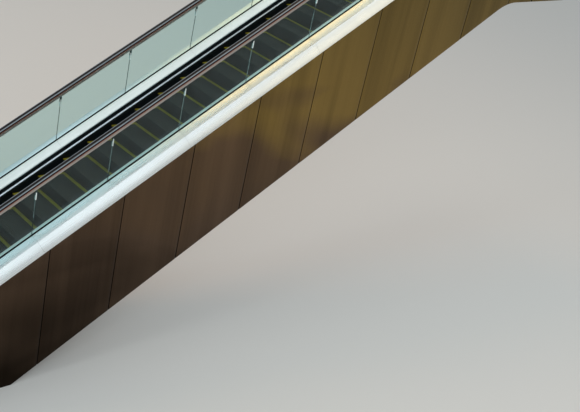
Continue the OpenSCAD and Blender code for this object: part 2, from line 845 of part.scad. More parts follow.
// Yellow inserts of one step: the bar at the rear and the toothed strips at the sides
module one_insert(k) {
    nose = nose_of(k);
    foot = seat - cleat_h;
    web = foot + insert_web;
    edge = step_w / 2;
    translate([nose[0], 0, nose[1]]) {
        translate([insert_front, -edge, foot]) cube([insert_rear_w, step_w, -foot]);
        for (left = [false, true]) on_side(left)
            bar(insert_front - insert_side_l, insert_side_l + insert_web) polygon([
                [edge - insert_side_w, foot], [edge, foot], [edge, 0],
                [edge - cleat_w, 0], [edge - cleat_w, web],
                [edge - cleat_pitch, web], [edge - cleat_pitch, 0], [edge - insert_side_w, 0]
            ]);
    }
}

// The first two and last two steps may meet a comb, whose teeth pass through their inserts
module step_inserts() {
    color("gold") {
        for (k = [1:last_step - 2]) one_insert(k);
        difference() {
            intersection() {
                union() for (k = [-1, 0, last_step - 1, last_step]) one_insert(k);
                step_room();
            }
            comb_teeth(comb_low_x, 1, low_floor, 0);
            comb_teeth(comb_up_x, -1, up_floor, 0);
        }
    }
}

// Comb teeth that lie between the cleats, gap narrower on each side than the groove
module comb_teeth(tip_x, direction, level, gap) {
    groove = cleat_pitch - cleat_w;
    under = level - cleat_h + seat + gap;
    for (i = [0:cleat_n - 2])
        slab(cleat_y(i) + cleat_w + gap, groove - 2 * gap) polygon([
            [tip_x - direction * seat, under], [tip_x + direction * tooth_l, under],
            [tip_x + direction * tooth_l, level - tooth_dip],
            [tip_x - direction * seat, level + tooth_rise]
        ]);
}

module comb(tip_x, direction, level) {
    color("silver") {
        slab(-comb_side, 2 * comb_side) polygon([
            [tip_x, level - floor_t], [tip_x, level + tooth_rise],
            [tip_x - direction * tooth_l, level + tooth_rise],
            [tip_x - direction * comb_l, level], [tip_x - direction * comb_l, level - floor_t]
        ]);
        comb_teeth(tip_x, direction, level, tooth_gap);
    }
}

module comb_plate(x, level) {
    color("silver") translate([x, -comb_side, level - floor_t])
        cube([comb_plate_l, 2 * comb_side, floor_t]);
}

// Floor plates in XY with a recess for the comb plate
module floor_plate(x0, x1, recess0, recess1, level) {
    edge = panel_y - frame_w - plate_gap;
    color("silver") translate([0, 0, level - floor_t]) linear_extrude(floor_t)
        difference() {
            rectangle(x0, -edge, x1, edge);
            rectangle(recess0, -half_channel, recess1, half_channel);
        }
}

module landing_frame(x0, x1, level, depth) {
    bed = depth - floor_t - seat;
    color("gray") translate([0, 0, level - depth]) {
        linear_extrude(bed) rectangle(x0, -panel_y, x1, panel_y);
        linear_extrude(depth) difference() {
            rectangle(x0, -panel_y, x1, panel_y);
            rectangle(x0 + frame_w, frame_w - panel_y, x1 - frame_w, panel_y - frame_w);
            children();
        }
    }
}

module landing_frame_lower() {
    landing_frame(end_low_x + end_t + seat, base_low_x - seat, low_floor, landing_h)
        rectangle(comb_plate_low_x, -half_channel, base_low_x, half_channel);
    color("gray") translate([base_low_x - seat, -half_channel + seat, 0])
        cube([comb_low_x - base_low_x, 2 * half_channel - 2 * seat, landing_h - floor_t - seat]);
}

module landing_frame_upper() {
    landing_frame(base_up_x + seat, end_up_x - end_t - seat, up_floor, frame_h)
        rectangle(base_up_x, -half_channel, comb_plate_up_x + comb_plate_l, half_channel);
    color("gray") translate([comb_up_x, -half_channel + seat, up_floor - frame_h])
        cube([base_up_x + 2 * seat - comb_up_x, 2 * half_channel - 2 * seat,
            frame_h - floor_t - seat]);
}

truss_housing();
cladding(false);  // cladding_right
cladding(true);  // cladding_left
soffit_panels();
end_plate_lower();
end_plate_upper();
bearing_lower();
bearing_upper();
outer_deck(false);  // outer_deck_right
outer_deck(true);  // outer_deck_left
inner_deck(false);  // inner_deck_right
inner_deck(true);  // inner_deck_left
skirt(false);  // skirt_right
skirt(true);  // skirt_left
skirt_brush(false);  // skirt_brush_right
skirt_brush(true);  // skirt_brush_left
skirt_bristles(false);  // skirt_bristles_right
skirt_bristles(true);  // skirt_bristles_left
glass_channel(false);  // glass_channel_right
glass_channel(true);  // glass_channel_left
glass(false);  // glass_right
glass(true);  // glass_left
glass_clips(false);  // glass_clips_right
glass_clips(true);  // glass_clips_left
handrail_guide(false);  // handrail_guide_right
handrail_guide(true);  // handrail_guide_left
handrail(false);  // handrail_right
handrail(true);  // handrail_left
newel_front(base_low_x, low_z(deck_line), 0, newel_low[1] - newel_r);  // newel_front_lower
newel_front(base_up_x - end_t, up_z(deck_line), up_floor - frame_h,  // newel_front_upper
        newel_up[1] - newel_r);
handrail_inlets(base_low_x - inlet_boot_l - seat, newel_low[1] - newel_r);  // handrail_inlets_lower
handrail_inlets(base_up_x + seat, newel_up[1] - newel_r);  // handrail_inlets_upper
steps();
step_inserts();
comb(comb_low_x, 1, low_floor);  // comb_lower
comb(comb_up_x, -1, up_floor);  // comb_upper
comb_plate(comb_plate_low_x, low_floor);  // comb_plate_lower
comb_plate(comb_plate_up_x, up_floor);  // comb_plate_upper
floor_plate(end_low_x + end_t + seat + frame_w + plate_gap, base_low_x - frame_w - plate_gap,  // floor_plate_lower
        comb_plate_low_x - plate_gap, base_low_x, low_floor);
floor_plate(base_up_x + frame_w + plate_gap, end_up_x - end_t - seat - frame_w - plate_gap,  // floor_plate_upper
        base_up_x, comb_plate_up_x + comb_plate_l + plate_gap, up_floor);
landing_frame_lower();
landing_frame_upper();
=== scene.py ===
import math

import bmesh
import bpy
import numpy as np
from mathutils import Matrix, Vector


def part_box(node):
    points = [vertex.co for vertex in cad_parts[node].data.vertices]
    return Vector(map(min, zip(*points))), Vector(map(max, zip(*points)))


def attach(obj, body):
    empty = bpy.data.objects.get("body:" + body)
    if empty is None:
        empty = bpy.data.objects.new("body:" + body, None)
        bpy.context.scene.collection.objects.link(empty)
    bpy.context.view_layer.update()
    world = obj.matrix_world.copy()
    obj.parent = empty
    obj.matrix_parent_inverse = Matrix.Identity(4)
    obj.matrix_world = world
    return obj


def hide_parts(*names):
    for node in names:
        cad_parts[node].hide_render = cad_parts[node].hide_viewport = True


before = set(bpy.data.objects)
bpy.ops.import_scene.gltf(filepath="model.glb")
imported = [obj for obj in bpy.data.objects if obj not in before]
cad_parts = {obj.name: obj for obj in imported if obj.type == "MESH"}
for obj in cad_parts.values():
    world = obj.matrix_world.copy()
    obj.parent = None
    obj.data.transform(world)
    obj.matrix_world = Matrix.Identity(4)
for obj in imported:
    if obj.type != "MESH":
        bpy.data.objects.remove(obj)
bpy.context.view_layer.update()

# Travel
RISE = 6.0
INCLINE = math.radians(30)
SLOPE = math.tan(INCLINE)
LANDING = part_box("floor_plate_lower")[1].z
LOW_X = 2.4
UP_X = LOW_X + RISE / SLOPE
COMB_X = {"lower": 1.25, "upper": UP_X + 1.15}
COMB_WAY = {"lower": 1, "upper": -1}
LEVEL = {"lower": LANDING, "upper": LANDING + RISE}
SEAT = 0.0003

# Steps
STEP_W = 1.0
PITCH = 0.405
PHASE = 0.205
TREAD_REAR = 0.4
RISER_T = 0.026
REAR_INSERT_W = 0.056
SIDE_CLEATS = 6
CLEATS = 110
CLEAT_PITCH = STEP_W / CLEATS
CLEAT_H = 0.010
CLEAT_TIP = 0.0032
CLEAT_TAPER = 0.0005
RIBBON_T = 0.0107
SHELL_TOP = 0.011
RISER_DEPTH = 0.2245
RISER_RINGS = 6
PAN_TOP = 0.0065
LEAST_TREAD = 0.03
LEAST_STRIP = 0.02
LEAST_INSERT = 0.004
STRIP_START = 0.002
BRACKET_Y = (0.471, 0.495)
TRACK_UNDER = 0.33

# Balustrade
GLASS_Y = 0.626
GLASS_T = 0.010
CHANNEL_HALF = 0.013
GLASS_START = 1.454
GLASS_L = 1.0
GLASS_JOINT = 0.005
CLIP_H = 0.070
CLIP_BAR = (0.052, 0.150)
CLIP_BAR_HALF_W = 0.0065
CLIP_BAR_T = 0.0058
CLIP_BAR_OFF = 0.0012
CLIP_BAR_R = 0.003
SEAL_HALF_W = 0.0034
SEAL_T = 0.0009
SEAL_OFF = 0.0001
SEAL_FOOT = 0.006
SEAL_HEAD = 0.012
DECK_PANELS = 2
CHANNEL_FOOT = 0.09
HALF_CHANNEL = 0.504
CREASE_OUT = 0.141
EDGE_OUT = 0.200
OUTER_FALL = 0.026
EDGE_FALL = 0.183
INNER_FALL = 0.052
DECK_T = 0.003
DECK_LIP = 0.014
DECK_RETURN = 0.025
DECK_LEDGE = 0.006
DECK_FOLD_R = 0.0012
DECK_JOINT = 0.0016
GASKET_UP = 0.010
BRUSH_UP = 0.062
BRUSH_H = 0.026
BRUSH_OUT = 0.018
BRUSH_SLANT = 0.007
BRUSH_LIP = 0.003
BRUSH_CHAMFER = 0.001
BRUSH_R = 0.0006
BRISTLE_OUT = 0.024
BRISTLE_PITCH = 0.0045
BRISTLE_W = 0.0034
BRISTLE_DROOP = 0.010
BRISTLE_ROOT = 0.0025

# Handrail
RAIL_W = 0.080
RAIL_H = 0.036
RAIL_WALL = 0.010
RAIL_LIP = 0.009
RAIL_SOFT = 0.0145
RAIL_DOME = 0.0012
RAIL_FABRIC = 0.012
# Heights of the shoulder band that carries the painted highlight.
RAIL_PAINTED_HIGHLIGHT = (0.0300, 0.0352)
RAIL_FOOT_R = 0.006
RAIL_PLAY = 0.0008
NEWEL_R = 0.36
NEWEL_BACK = 0.36
NEWEL_X = {"lower": COMB_X["lower"] - NEWEL_BACK, "upper": COMB_X["upper"] + NEWEL_BACK}
INLET_RUN = 0.04
BOOT_PLAY = 0.0016
END_T = 0.012
BOOT_L = 0.024
GUIDE_W = 0.034
GUIDE_H = 0.048
GUIDE_GRIP = 0.030
GUIDE_GROOVE = 0.004

# Housing
PANEL_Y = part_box("cladding_left")[1].y
PANEL_T = 0.020
PANEL_START = 1.626
PANEL_L = 1.0
PANEL_JOINT = 0.010
PANEL_PILLOW = 0.0035
PANEL_FOLD = 0.003
PANEL_RIM = 0.0008
PANEL_RIM_SHARE = 0.004
LANDING_TRIM = 0.06
END_UP_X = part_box("end_plate_upper")[1].x

# Landings
FLOOR_T = 0.030
COMB_L = 0.19
COMB_SEGMENT = 0.2
COMB_T = 0.029
COMB_RIB_H = 0.002
COMB_RIB_W = 0.0052
TOOTH_L = 0.060
TOOTH_W = 0.0034
TOOTH_RISE = 0.005
TOOTH_DIP = 0.007
TOOTH_CLEAR = 0.0015
TOOTH_ROOT = 0.004
TOOTH_SUNK = 0.0005
SCREW_BACK = 0.045
SCREW_UP = 0.0014
SCREW_CLEAR = 0.02
SCREW_R = (0.007, 0.007, 0.0062, 0.0035, 0.003)
SCREW_H = (-0.006, 0.0002, 0.0006, 0.0006, -0.002)
PLATE_RIB = 0.009
PLATE_RIB_H = 0.0015
PLATE_RIB_SLOPE = 0.0006
PLATE_BORDER = 0.012
PLATE_EDGE = 0.0008
PLATE_GAP = 0.003
PLATE_LONGEST = 0.9

BASE_X = {"lower": NEWEL_X["lower"] + INLET_RUN, "upper": NEWEL_X["upper"] - INLET_RUN}
DECK_X0 = BASE_X["lower"] + END_T + SEAT
DECK_X1 = BASE_X["upper"] - END_T - SEAT
SIDES = {"right": -1, "left": 1}


class Line:
    """A line along the escalator: flat, lower bend, incline, upper bend, flat."""

    def __init__(self, flat, plumb, r_low, r_up):
        self.flat, self.plumb, self.r_low, self.r_up = flat, plumb, r_low, r_up
        shift = (flat - plumb) / SLOPE
        half = math.tan(INCLINE / 2)
        self.low = (LOW_X + shift - r_low * half, LANDING + flat + r_low)
        self.up = (UP_X + shift + r_up * half, LANDING + RISE + flat - r_up)
        self.bend_end = self.low[0] + r_low * math.sin(INCLINE)
        self.bend_start = self.up[0] - r_up * math.sin(INCLINE)

    def beside(self, h):
        """The line that runs h over this one, square to it."""
        return Line(
            self.flat + h, self.plumb + h / math.cos(INCLINE), self.r_low - h, self.r_up + h
        )

    def turn(self, x):
        """The angle of the slope over x."""
        if x <= self.low[0] or x >= self.up[0]:
            return 0.0
        if x < self.bend_end:
            return math.asin((x - self.low[0]) / self.r_low)
        if x <= self.bend_start:
            return INCLINE
        return math.asin((self.up[0] - x) / self.r_up)

    def z(self, x):
        if x < self.bend_end:
            return self.low[1] - self.r_low * math.cos(self.turn(x))
        if x <= self.bend_start:
            foot = self.low[1] - self.r_low * math.cos(INCLINE)
            return foot + (x - self.bend_end) * SLOPE
        return self.up[1] + self.r_up * math.cos(self.turn(x))

    def places(self, x0, x1, steps=20):
        """Points from x0 to x1 with the line's upward normals."""
        bends = []
        for i in range(steps + 1):
            turn = INCLINE * i / steps
            bends.append(self.low[0] + self.r_low * math.sin(turn))
            bends.append(self.up[0] - self.r_up * math.sin(turn))
        inner = sorted(x for x in bends if x0 + 1e-6 < x < x1 - 1e-6)
        found = []
        for x in [x0, *inner, x1]:
            turn = self.turn(x)
            found.append((x, self.z(x), -math.sin(turn), math.cos(turn)))
        return found


STEP_LINE = Line(flat=0, plumb=0, r_low=1.5, r_up=1.5)
DECK_LINE = Line(flat=0.245, plumb=0.245, r_low=1.3, r_up=1.75)
RAIL_LINE = Line(flat=0.924, plumb=0.938, r_low=1.1, r_up=2.1)
SOFFIT_LINE = Line(flat=-1.25, plumb=-1.72, r_low=0.9, r_up=0.9)


def newel_arc(x, z, first, steps):
    """Places over half a turn round a newel, clockwise from an angle in degrees."""
    found = []
    for i in range(steps + 1):
        turn = math.radians(first - 180 * i / steps)
        nx, nz = math.cos(turn), math.sin(turn)
        found.append((x + NEWEL_R * nx, z + NEWEL_R * nz, nx, nz))
    return found


def rail_loop(end_run, steps=40):
    """Places round both newels, from inlet to inlet, with outward normals."""
    low, up = ((NEWEL_X[end], LEVEL[end] + RAIL_LINE.flat - NEWEL_R) for end in LEVEL)
    return [
        (low[0] + end_run, low[1] - NEWEL_R, 0.0, -1.0),
        *newel_arc(*low, 270, steps)[:-1],
        *RAIL_LINE.places(low[0], up[0], 24),
        *newel_arc(*up, 90, steps)[1:],
        (up[0] - end_run, up[1] - NEWEL_R, 0.0, -1.0),
    ]


def every(pitch, start, stop):
    """Places at a pitch from start, as far as stop."""
    return [start + i * pitch for i in range(math.ceil((stop - start) / pitch))]


def glass_joints():
    """Plan places of the joints between sheets of glass."""
    return every(GLASS_L, GLASS_START, NEWEL_X["upper"] - NEWEL_R)


def distances(points):
    """How far along their line each of the points lies."""
    gaps = np.linalg.norm(np.diff(np.array(points, float), axis=0), axis=1)
    return np.concatenate([[0], gaps.cumsum()])


def rounded(corners, radius, steps=2):
    """An outline with each corner turned into a short curve."""
    found = []
    count = len(corners)
    for i, corner in enumerate(corners):
        p = np.array(corner, float)
        before = np.array(corners[i - 1], float) - p
        after = np.array(corners[(i + 1) % count], float) - p
        r = min(radius, 0.45 * np.linalg.norm(before), 0.45 * np.linalg.norm(after))
        a = p + before / np.linalg.norm(before) * r
        b = p + after / np.linalg.norm(after) * r
        for k in range(steps + 1):
            t = k / steps
            found.append(tuple((1 - t) ** 2 * a + 2 * t * (1 - t) * p + t * t * b))
    return found


def in_scene(name, data):
    """A new object in the scene."""
    obj = bpy.data.objects.new(name, data)
    bpy.context.scene.collection.objects.link(obj)
    return obj


class Shape:
    """Points and faces of one piece, with the grain's run and a tone at each point."""

    def __init__(self):
        self.points = []
        self.faces = []
        self.grain = []
        self.tone = []

    def add(self, points, faces, grain=None, tone=None):
        base = len(self.points)
        self.points.extend(map(tuple, points))
        self.faces.extend(tuple(base + i for i in face) for face in faces)
        self.grain.extend(grain if grain is not None else [(p[0], p[2], p[1]) for p in points])
        self.tone.extend(tone if tone is not None else [0.0] * len(points))

    def rings(self, points, n, grain=None, tone=None):
        """Rings of n points, each joined to the next, with a face at both ends."""
        last = len(points) - n
        faces = []
        for low in range(0, last, n):
            for j in range(n):
                i = (j + 1) % n
                faces.append((low + j, low + i, low + n + i, low + n + j))
        faces += [tuple(reversed(range(n))), tuple(range(last, last + n))]
        self.add(points, faces, grain, tone)

    def sweep(self, section, places, side=1, tones=None):
        """A closed section, given as (y, height) points, carried along places."""
        around = distances(section)
        run = distances([p[:2] for p in places]) + places[0][0]
        points, grain = [], []
        for (x, z, nx, nz), s in zip(places, run):
            points += [(x + nx * h, side * y, z + nz * h) for y, h in section]
            grain += [(s, a, 0.0) for a in around]
        tone = list(tones) * len(places) if tones is not None else None
        self.rings(points, len(section), grain, tone)

    def prism(self, outline, y0, y1):
        """An outline in XZ between two planes of Y."""
        self.rings([(x, y, z) for y in (y0, y1) for x, z in outline], len(outline))

    def disc(self, centre, normal, across, radii, heights, steps=16):
        """A turned piece of rings with the given radii and heights over its centre."""
        c, n, u = Vector(centre), Vector(normal).normalized(), Vector(across).normalized()
        v = n.cross(u)
        points = []
        for r, h in zip(radii, heights):
            for k in range(steps):
                a = 2 * math.pi * k / steps
                points.append(tuple(c + n * h + u * (r * math.cos(a)) + v * (r * math.sin(a))))
        self.rings(points, steps)

    def piece(self, name, material, slot, *nodes, sharp=32):
        """The finished piece, which rides the body and replaces the nodes it is given."""
        mesh = bpy.data.meshes.new(name)
        mesh.from_pydata(self.points, [], self.faces)
        grain = mesh.attributes.new("grain", "FLOAT_VECTOR", "POINT")
        grain.data.foreach_set("vector", np.array(self.grain, np.float32).ravel())
        tone = mesh.attributes.new("tone", "FLOAT", "POINT")
        tone.data.foreach_set("value", np.array(self.tone, np.float32))
        solid = bmesh.new()
        solid.from_mesh(mesh)
        bmesh.ops.recalc_face_normals(solid, faces=solid.faces)
        solid.to_mesh(mesh)
        solid.free()
        mesh.shade_smooth()
        mesh.set_sharp_from_angle(angle=math.radians(sharp))
        mesh.materials.append(material)
        obj = in_scene(name, mesh)
        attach(obj, "root")
        if nodes:
            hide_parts(*nodes)


class Nodes:
    """Short ways to add shader nodes to a tree."""

    def __init__(self, owner):
        owner.use_nodes = True
        self.tree = owner.node_tree

    def feed(self, value, socket):
        """Links a socket to the output that is its value, or sets it."""
        if isinstance(value, bpy.types.NodeSocket):
            self.tree.links.new(value, socket)
        else:
            socket.default_value = value

    def node(self, kind, settings=None, **values):
        """A shader node with its settings, and with sockets fed by name."""
        made = self.tree.nodes.new("ShaderNode" + kind)
        for key, value in (settings or {}).items():
            setattr(made, key, value)
        for key, value in values.items():
            self.feed(value, made.inputs[key.replace("_", " ")])
        return made

    def mix(self, amount, dark, light):
        """Colour between two, each a colour or a socket, by an amount from 0 to 1."""
        made = self.node("Mix", {"data_type": "RGBA"})
        self.feed(amount, made.inputs[0])
        for socket, value in ((made.inputs[6], dark), (made.inputs[7], light)):
            self.feed((*value, 1) if isinstance(value, tuple) else value, socket)
        return made.outputs[2]


class Finish(Nodes):
    """A Principled material, with short ways to vary it."""

    def __init__(self, name, colour, roughness, metallic=0.0, **sockets):
        self.material = bpy.data.materials.new(name)
        super().__init__(self.material)
        self.shader = self.tree.nodes["Principled BSDF"]
        self.shader.inputs["Base Color"].default_value = (*colour, 1)
        self.shader.inputs["Roughness"].default_value = roughness
        self.shader.inputs["Metallic"].default_value = metallic
        for socket, value in sockets.items():
            self.shader.inputs[socket.replace("_", " ")].default_value = value

    def place(self, source):
        """Object coordinates in metres, or a named attribute of the mesh."""
        if source == "object":
            return self.node("TexCoord").outputs["Object"]
        return self.node("Attribute", {"attribute_name": source}).outputs["Vector"]

    def tone(self):
        """The tone that a Shape keeps at each of its points."""
        return self.node("Attribute", {"attribute_name": "tone"}).outputs["Fac"]

    def noise(self, source, stretch, detail=3, roughness=0.55, distortion=0.0):
        scaled = self.node("Mapping", Vector=self.place(source), Scale=stretch)
        made = self.node(
            "TexNoise", Vector=scaled.outputs[0], Scale=1.0, Detail=detail,
            Roughness=roughness, Distortion=distortion,
        )
        return made.outputs["Fac"]

    def span(self, value, low, high, from_low=0.35, from_high=0.65):
        """A value carried from one range to another, and held at its ends."""
        return self.node(
            "MapRange", Value=value, From_Min=from_low, From_Max=from_high, To_Min=low, To_Max=high
        ).outputs["Result"]

    def math(self, operation, a, b=0.0):
        made = self.node("Math", {"operation": operation})
        self.feed(a, made.inputs[0])
        self.feed(b, made.inputs[1])
        return made.outputs[0]

    def surface(self, colour, roughness, height=None, distance=0.0, strength=0.0):
        """Feeds the shader's colour and roughness, and a bump where a height is given."""
        self.feed(colour, self.shader.inputs["Base Color"])
        self.feed(roughness, self.shader.inputs["Roughness"])
        if height is not None:
            bump = self.node("Bump", Height=height, Distance=distance, Strength=strength)
            self.feed(bump.outputs[0], self.shader.inputs["Normal"])
        return self.material


def shade(colour, factor):
    return tuple(c * factor for c in colour)


def brushed_steel(name, colour, roughness, source, along=0, metallic=1.0):
    """Stainless sheet with a grain along one axis of its coordinates."""
    finish = Finish(name, colour, roughness, metallic)
    fine = [9.0 if axis == along else 1400.0 for axis in range(3)]
    broad = [0.9 if axis == along else 55.0 for axis in range(3)]
    lines = finish.noise(source, fine, 2)
    streaks = finish.noise(source, broad, 3)
    smudge = finish.noise("object", (2.2, 2.2, 2.2), 4, 0.6, 0.4)
    tone = finish.mix(finish.span(streaks, 0, 1), shade(colour, 0.96), shade(colour, 1.03))
    tone = finish.mix(finish.span(smudge, 0.0, 0.25, 0.4, 0.75), tone, shade(colour, 0.85))
    worn = finish.span(streaks, roughness - 0.025, roughness + 0.03)
    worn = finish.math("ADD", worn, finish.span(smudge, -0.015, 0.04))
    return finish.surface(tone, worn, lines, 0.00003, 0.15)


def bronze_cladding():
    """Bronze-toned stainless with painted reflection: dark near the ground and golden towards the
    upper landing, in broad bands, and painted seam shade on its joint edges.
    """
    finish = Finish("bronze_cladding", (0.09, 0.058, 0.038), 0.2, 1.0)
    split = finish.node("SeparateXYZ", Vector=finish.place("object"))
    # A ramp over height paints reflection: near black low down, brown in the middle, golden high
    # up.
    height = finish.span(split.outputs["Z"], 0, 1, 0.0, RISE)
    painted_reflection_wobble = finish.noise("object", (0.45, 0.45, 0.8), 2, 0.5, 0.6)
    height = finish.math("ADD", height, finish.span(painted_reflection_wobble, -0.07, 0.07))
    painted_reflection_ramp = finish.node("ValToRGB", Fac=height)
    stops = painted_reflection_ramp.color_ramp.elements
    tones = [
        (0.08, (0.016, 0.010, 0.006)), (0.28, (0.088, 0.057, 0.038)),
        (0.48, (0.112, 0.070, 0.040)), (0.60, (0.215, 0.140, 0.042)),
        (0.95, (0.200, 0.134, 0.044)),
    ]
    stops[0].position, stops[0].color = tones[0][0], (*tones[0][1], 1)
    stops[1].position, stops[1].color = tones[-1][0], (*tones[-1][1], 1)
    for place, colour in tones[1:-1]:
        stops.new(place).color = (*colour, 1)
    panel = finish.math("FLOOR", finish.math("SUBTRACT", split.outputs["X"], PANEL_START))
    own = finish.node("TexWhiteNoise", {"noise_dimensions": "1D"}, W=panel).outputs["Value"]
    lines = finish.noise("object", (900.0, 900.0, 6.0), 2)
    streaks = finish.noise("object", (30.0, 30.0, 0.5), 3)
    # Broad horizontal bands of painted reflection, added to each panel's own random tone and the
    # streaks.
    painted_reflection_band = finish.noise("object", (2.4, 2.4, 0.22), 1, 0.4, 0.8)
    level = finish.math("ADD", finish.span(own, 0.88, 1.10, 0, 1), finish.span(painted_reflection_band, -0.13, 0.13))
    level = finish.math("ADD", level, finish.span(streaks, -0.05, 0.05))
    bronze_and_painted_reflection = finish.node(
        "VectorMath", {"operation": "SCALE"}, Vector=painted_reflection_ramp.outputs["Color"], Scale=level
    )
    # Tone 1 on the panels' joint edges turns them near black: painted shade of the seams.
    colour = finish.mix(finish.tone(), bronze_and_painted_reflection.outputs["Vector"], (0.008, 0.006, 0.005))
    return finish.surface(colour, finish.span(streaks, 0.16, 0.26), lines, 0.00003, 0.3)


def clear_glass():
    """Toughened glass, clear through its faces and green through its edges."""
    colour = (0.71, 0.945, 0.945)
    edge = (0.03, 0.13, 0.10)
    finish = Finish(
        "clear_glass", colour, 0.015, 0.0,
        Transmission_Weight=1.0, IOR=1.47, Specular_Tint=(0.38, 0.41, 0.44, 1),
    )
    normal = finish.node("NewGeometry").outputs["True Normal"]
    across = finish.node("SeparateXYZ", Vector=normal).outputs["Y"]
    face = finish.span(finish.math("ABSOLUTE", across), 0, 1, 0.6, 0.95)
    smear = finish.noise("object", (3.0, 3.0, 5.0), 4, 0.6)
    finish.surface(finish.mix(face, edge, colour), finish.span(smear, 0.008, 0.035))
    clear = finish.node("BsdfTransparent", Color=(*colour, 1))
    ray = finish.node("LightPath").outputs
    both = finish.node("MixShader")
    finish.feed(finish.math("MAXIMUM", ray["Is Shadow Ray"], ray["Is Diffuse Ray"]), both.inputs[0])
    finish.feed(finish.shader.outputs[0], both.inputs[1])
    finish.feed(clear.outputs[0], both.inputs[2])
    finish.feed(both.outputs[0], finish.tree.nodes["Material Output"].inputs["Surface"])
    return finish.material


def rail_rubber():
    """Black handrail: its tone is 1 on the brown fabric lips and -1 on the shoulders, which carry a
    painted highlight line.
    """
    colour = (0.006, 0.005, 0.005)
    finish = Finish("rail_rubber", colour, 0.16, 0.0, Specular_IOR_Level=0.2)
    tone = finish.tone()
    lip = finish.span(tone, 0, 1, 0, 1)
    # The shoulders (tone -1) get a painted highlight line in light bluish grey.
    shoulder = finish.span(tone, 1, 0, -1, 0)
    wipe = finish.noise("grain", (2.5, 60.0, 1.0), 4)
    speck = finish.noise("grain", (900.0, 900.0, 1.0), 2)
    weave = finish.noise("grain", (700.0, 250.0, 1.0), 2)
    rubber = finish.mix(finish.span(wipe, 0, 1, 0.4, 0.7), colour, (0.012, 0.010, 0.009))
    painted_highlight = finish.mix(finish.span(wipe, 0, 1), (0.15, 0.18, 0.21), (0.26, 0.30, 0.34))
    fabric = finish.mix(finish.span(weave, 0, 1), (0.20, 0.060, 0.038), (0.30, 0.100, 0.064))
    colour = finish.mix(lip, finish.mix(shoulder, rubber, painted_highlight), fabric)
    worn = finish.span(wipe, 0.16, 0.28)
    worn = finish.math("ADD", worn, finish.math("MULTIPLY", lip, 0.5))
    return finish.surface(colour, worn, speck, 0.00003, 0.25)


def step_casting():
    """Dark painted casting, its cleat tips worn down to grey metal."""
    groove, tip = (0.009, 0.0085, 0.008), (0.050, 0.045, 0.040)
    finish = Finish("step_casting", groove, 0.5, 0.0, Specular_IOR_Level=0.35)
    wear = finish.noise("object", (7.0, 3.0, 7.0), 4, 0.6)
    grit = finish.noise("object", (500.0, 500.0, 500.0), 2)
    rubbed = finish.math("MULTIPLY", finish.tone(), finish.span(wear, 0.45, 1.0))
    colour = finish.mix(rubbed, groove, tip)
    return finish.surface(colour, finish.span(rubbed, 0.62, 0.38, 0, 1), grit, 0.00015, 0.5)


def yellow_insert():
    """Yellow plastic inserts, dulled in the grooves and scuffed on the tips."""
    dull, clean = (0.15, 0.115, 0.010), (0.50, 0.38, 0.018)
    finish = Finish("yellow_insert", clean, 0.45, 0.0)
    scuff = finish.noise("object", (30.0, 12.0, 30.0), 4, 0.65)
    worn = finish.math("MULTIPLY", finish.tone(), finish.span(scuff, 0.55, 1.0))
    colour = finish.mix(worn, dull, clean)
    return finish.surface(colour, finish.span(scuff, 0.38, 0.6), scuff, 0.0002, 0.4)


def plain_finish(name, colour, roughness, metallic=1.0, scale=40.0, depth=0.00012, gloss=0.5):
    """Cast, coated or moulded surface with a fine tooth and soft patches."""
    finish = Finish(name, colour, roughness, metallic, Specular_IOR_Level=gloss)
    patch = finish.noise("object", (3.0, 3.0, 3.0), 4, 0.6)
    tooth = finish.noise("object", (scale * 12,) * 3, 3)
    tone = finish.mix(finish.span(patch, 0, 1), shade(colour, 0.86), shade(colour, 1.1))
    worn = finish.span(patch, roughness - 0.06, roughness + 0.08)
    return finish.surface(tone, worn, tooth, depth, 0.5)


def black_skirt():
    """Low-friction black skirt with long rubbed scratches along the travel."""
    colour = (0.007, 0.008, 0.010)
    finish = Finish("black_skirt", colour, 0.32, 0.0, Specular_IOR_Level=0.18)
    scratch = finish.noise("object", (3.0, 3.0, 420.0), 4)
    patch = finish.noise("object", (2.0, 2.0, 4.0), 3)
    rubbed = finish.span(scratch, 0, 0.6, 0.55, 0.75)
    tone = finish.mix(rubbed, colour, (0.02, 0.02, 0.022))
    return finish.surface(tone, finish.span(patch, 0.26, 0.42), scratch, 0.00008, 0.4)


def galvanised():
    """Zinc coat with its crystal pattern."""
    colour = (0.42, 0.43, 0.44)
    finish = Finish("galvanised", colour, 0.45, 0.9)
    cells = finish.node("TexVoronoi", Vector=finish.place("object"), Scale=70.0)
    grey = finish.node("RGBToBW", Color=cells.outputs["Color"]).outputs[0]
    tone = finish.mix(grey, shade(colour, 0.8), shade(colour, 1.15))
    return finish.surface(tone, finish.span(grey, 0.38, 0.55, 0, 1), grey, 0.0001, 0.4)


STEEL = (0.70, 0.74, 0.76)
deck_steel = brushed_steel("deck_steel", STEEL, 0.27, "grain")
inner_steel = brushed_steel("inner_steel", (0.86, 0.89, 0.90), 0.42, "grain", 0, 0.45)
front_steel = brushed_steel("front_steel", STEEL, 0.3, "object", 1)
plate_steel = brushed_steel("plate_steel", (0.52, 0.53, 0.53), 0.36, "object", 0)
frame_steel = brushed_steel("frame_steel", (0.60, 0.61, 0.61), 0.32, "object", 1)
comb_metal = plain_finish("comb_metal", (0.62, 0.62, 0.60), 0.38)
cladding = bronze_cladding()
glass = clear_glass()
rubber = rail_rubber()
casting = step_casting()
yellow = yellow_insert()
guide_metal = brushed_steel("guide_metal", (0.46, 0.42, 0.40), 0.36, "grain")
carrier_metal = brushed_steel("carrier_metal", (0.72, 0.80, 0.88), 0.3, "grain")
clip_metal = plain_finish("clip_metal", (0.62, 0.66, 0.66), 0.3)
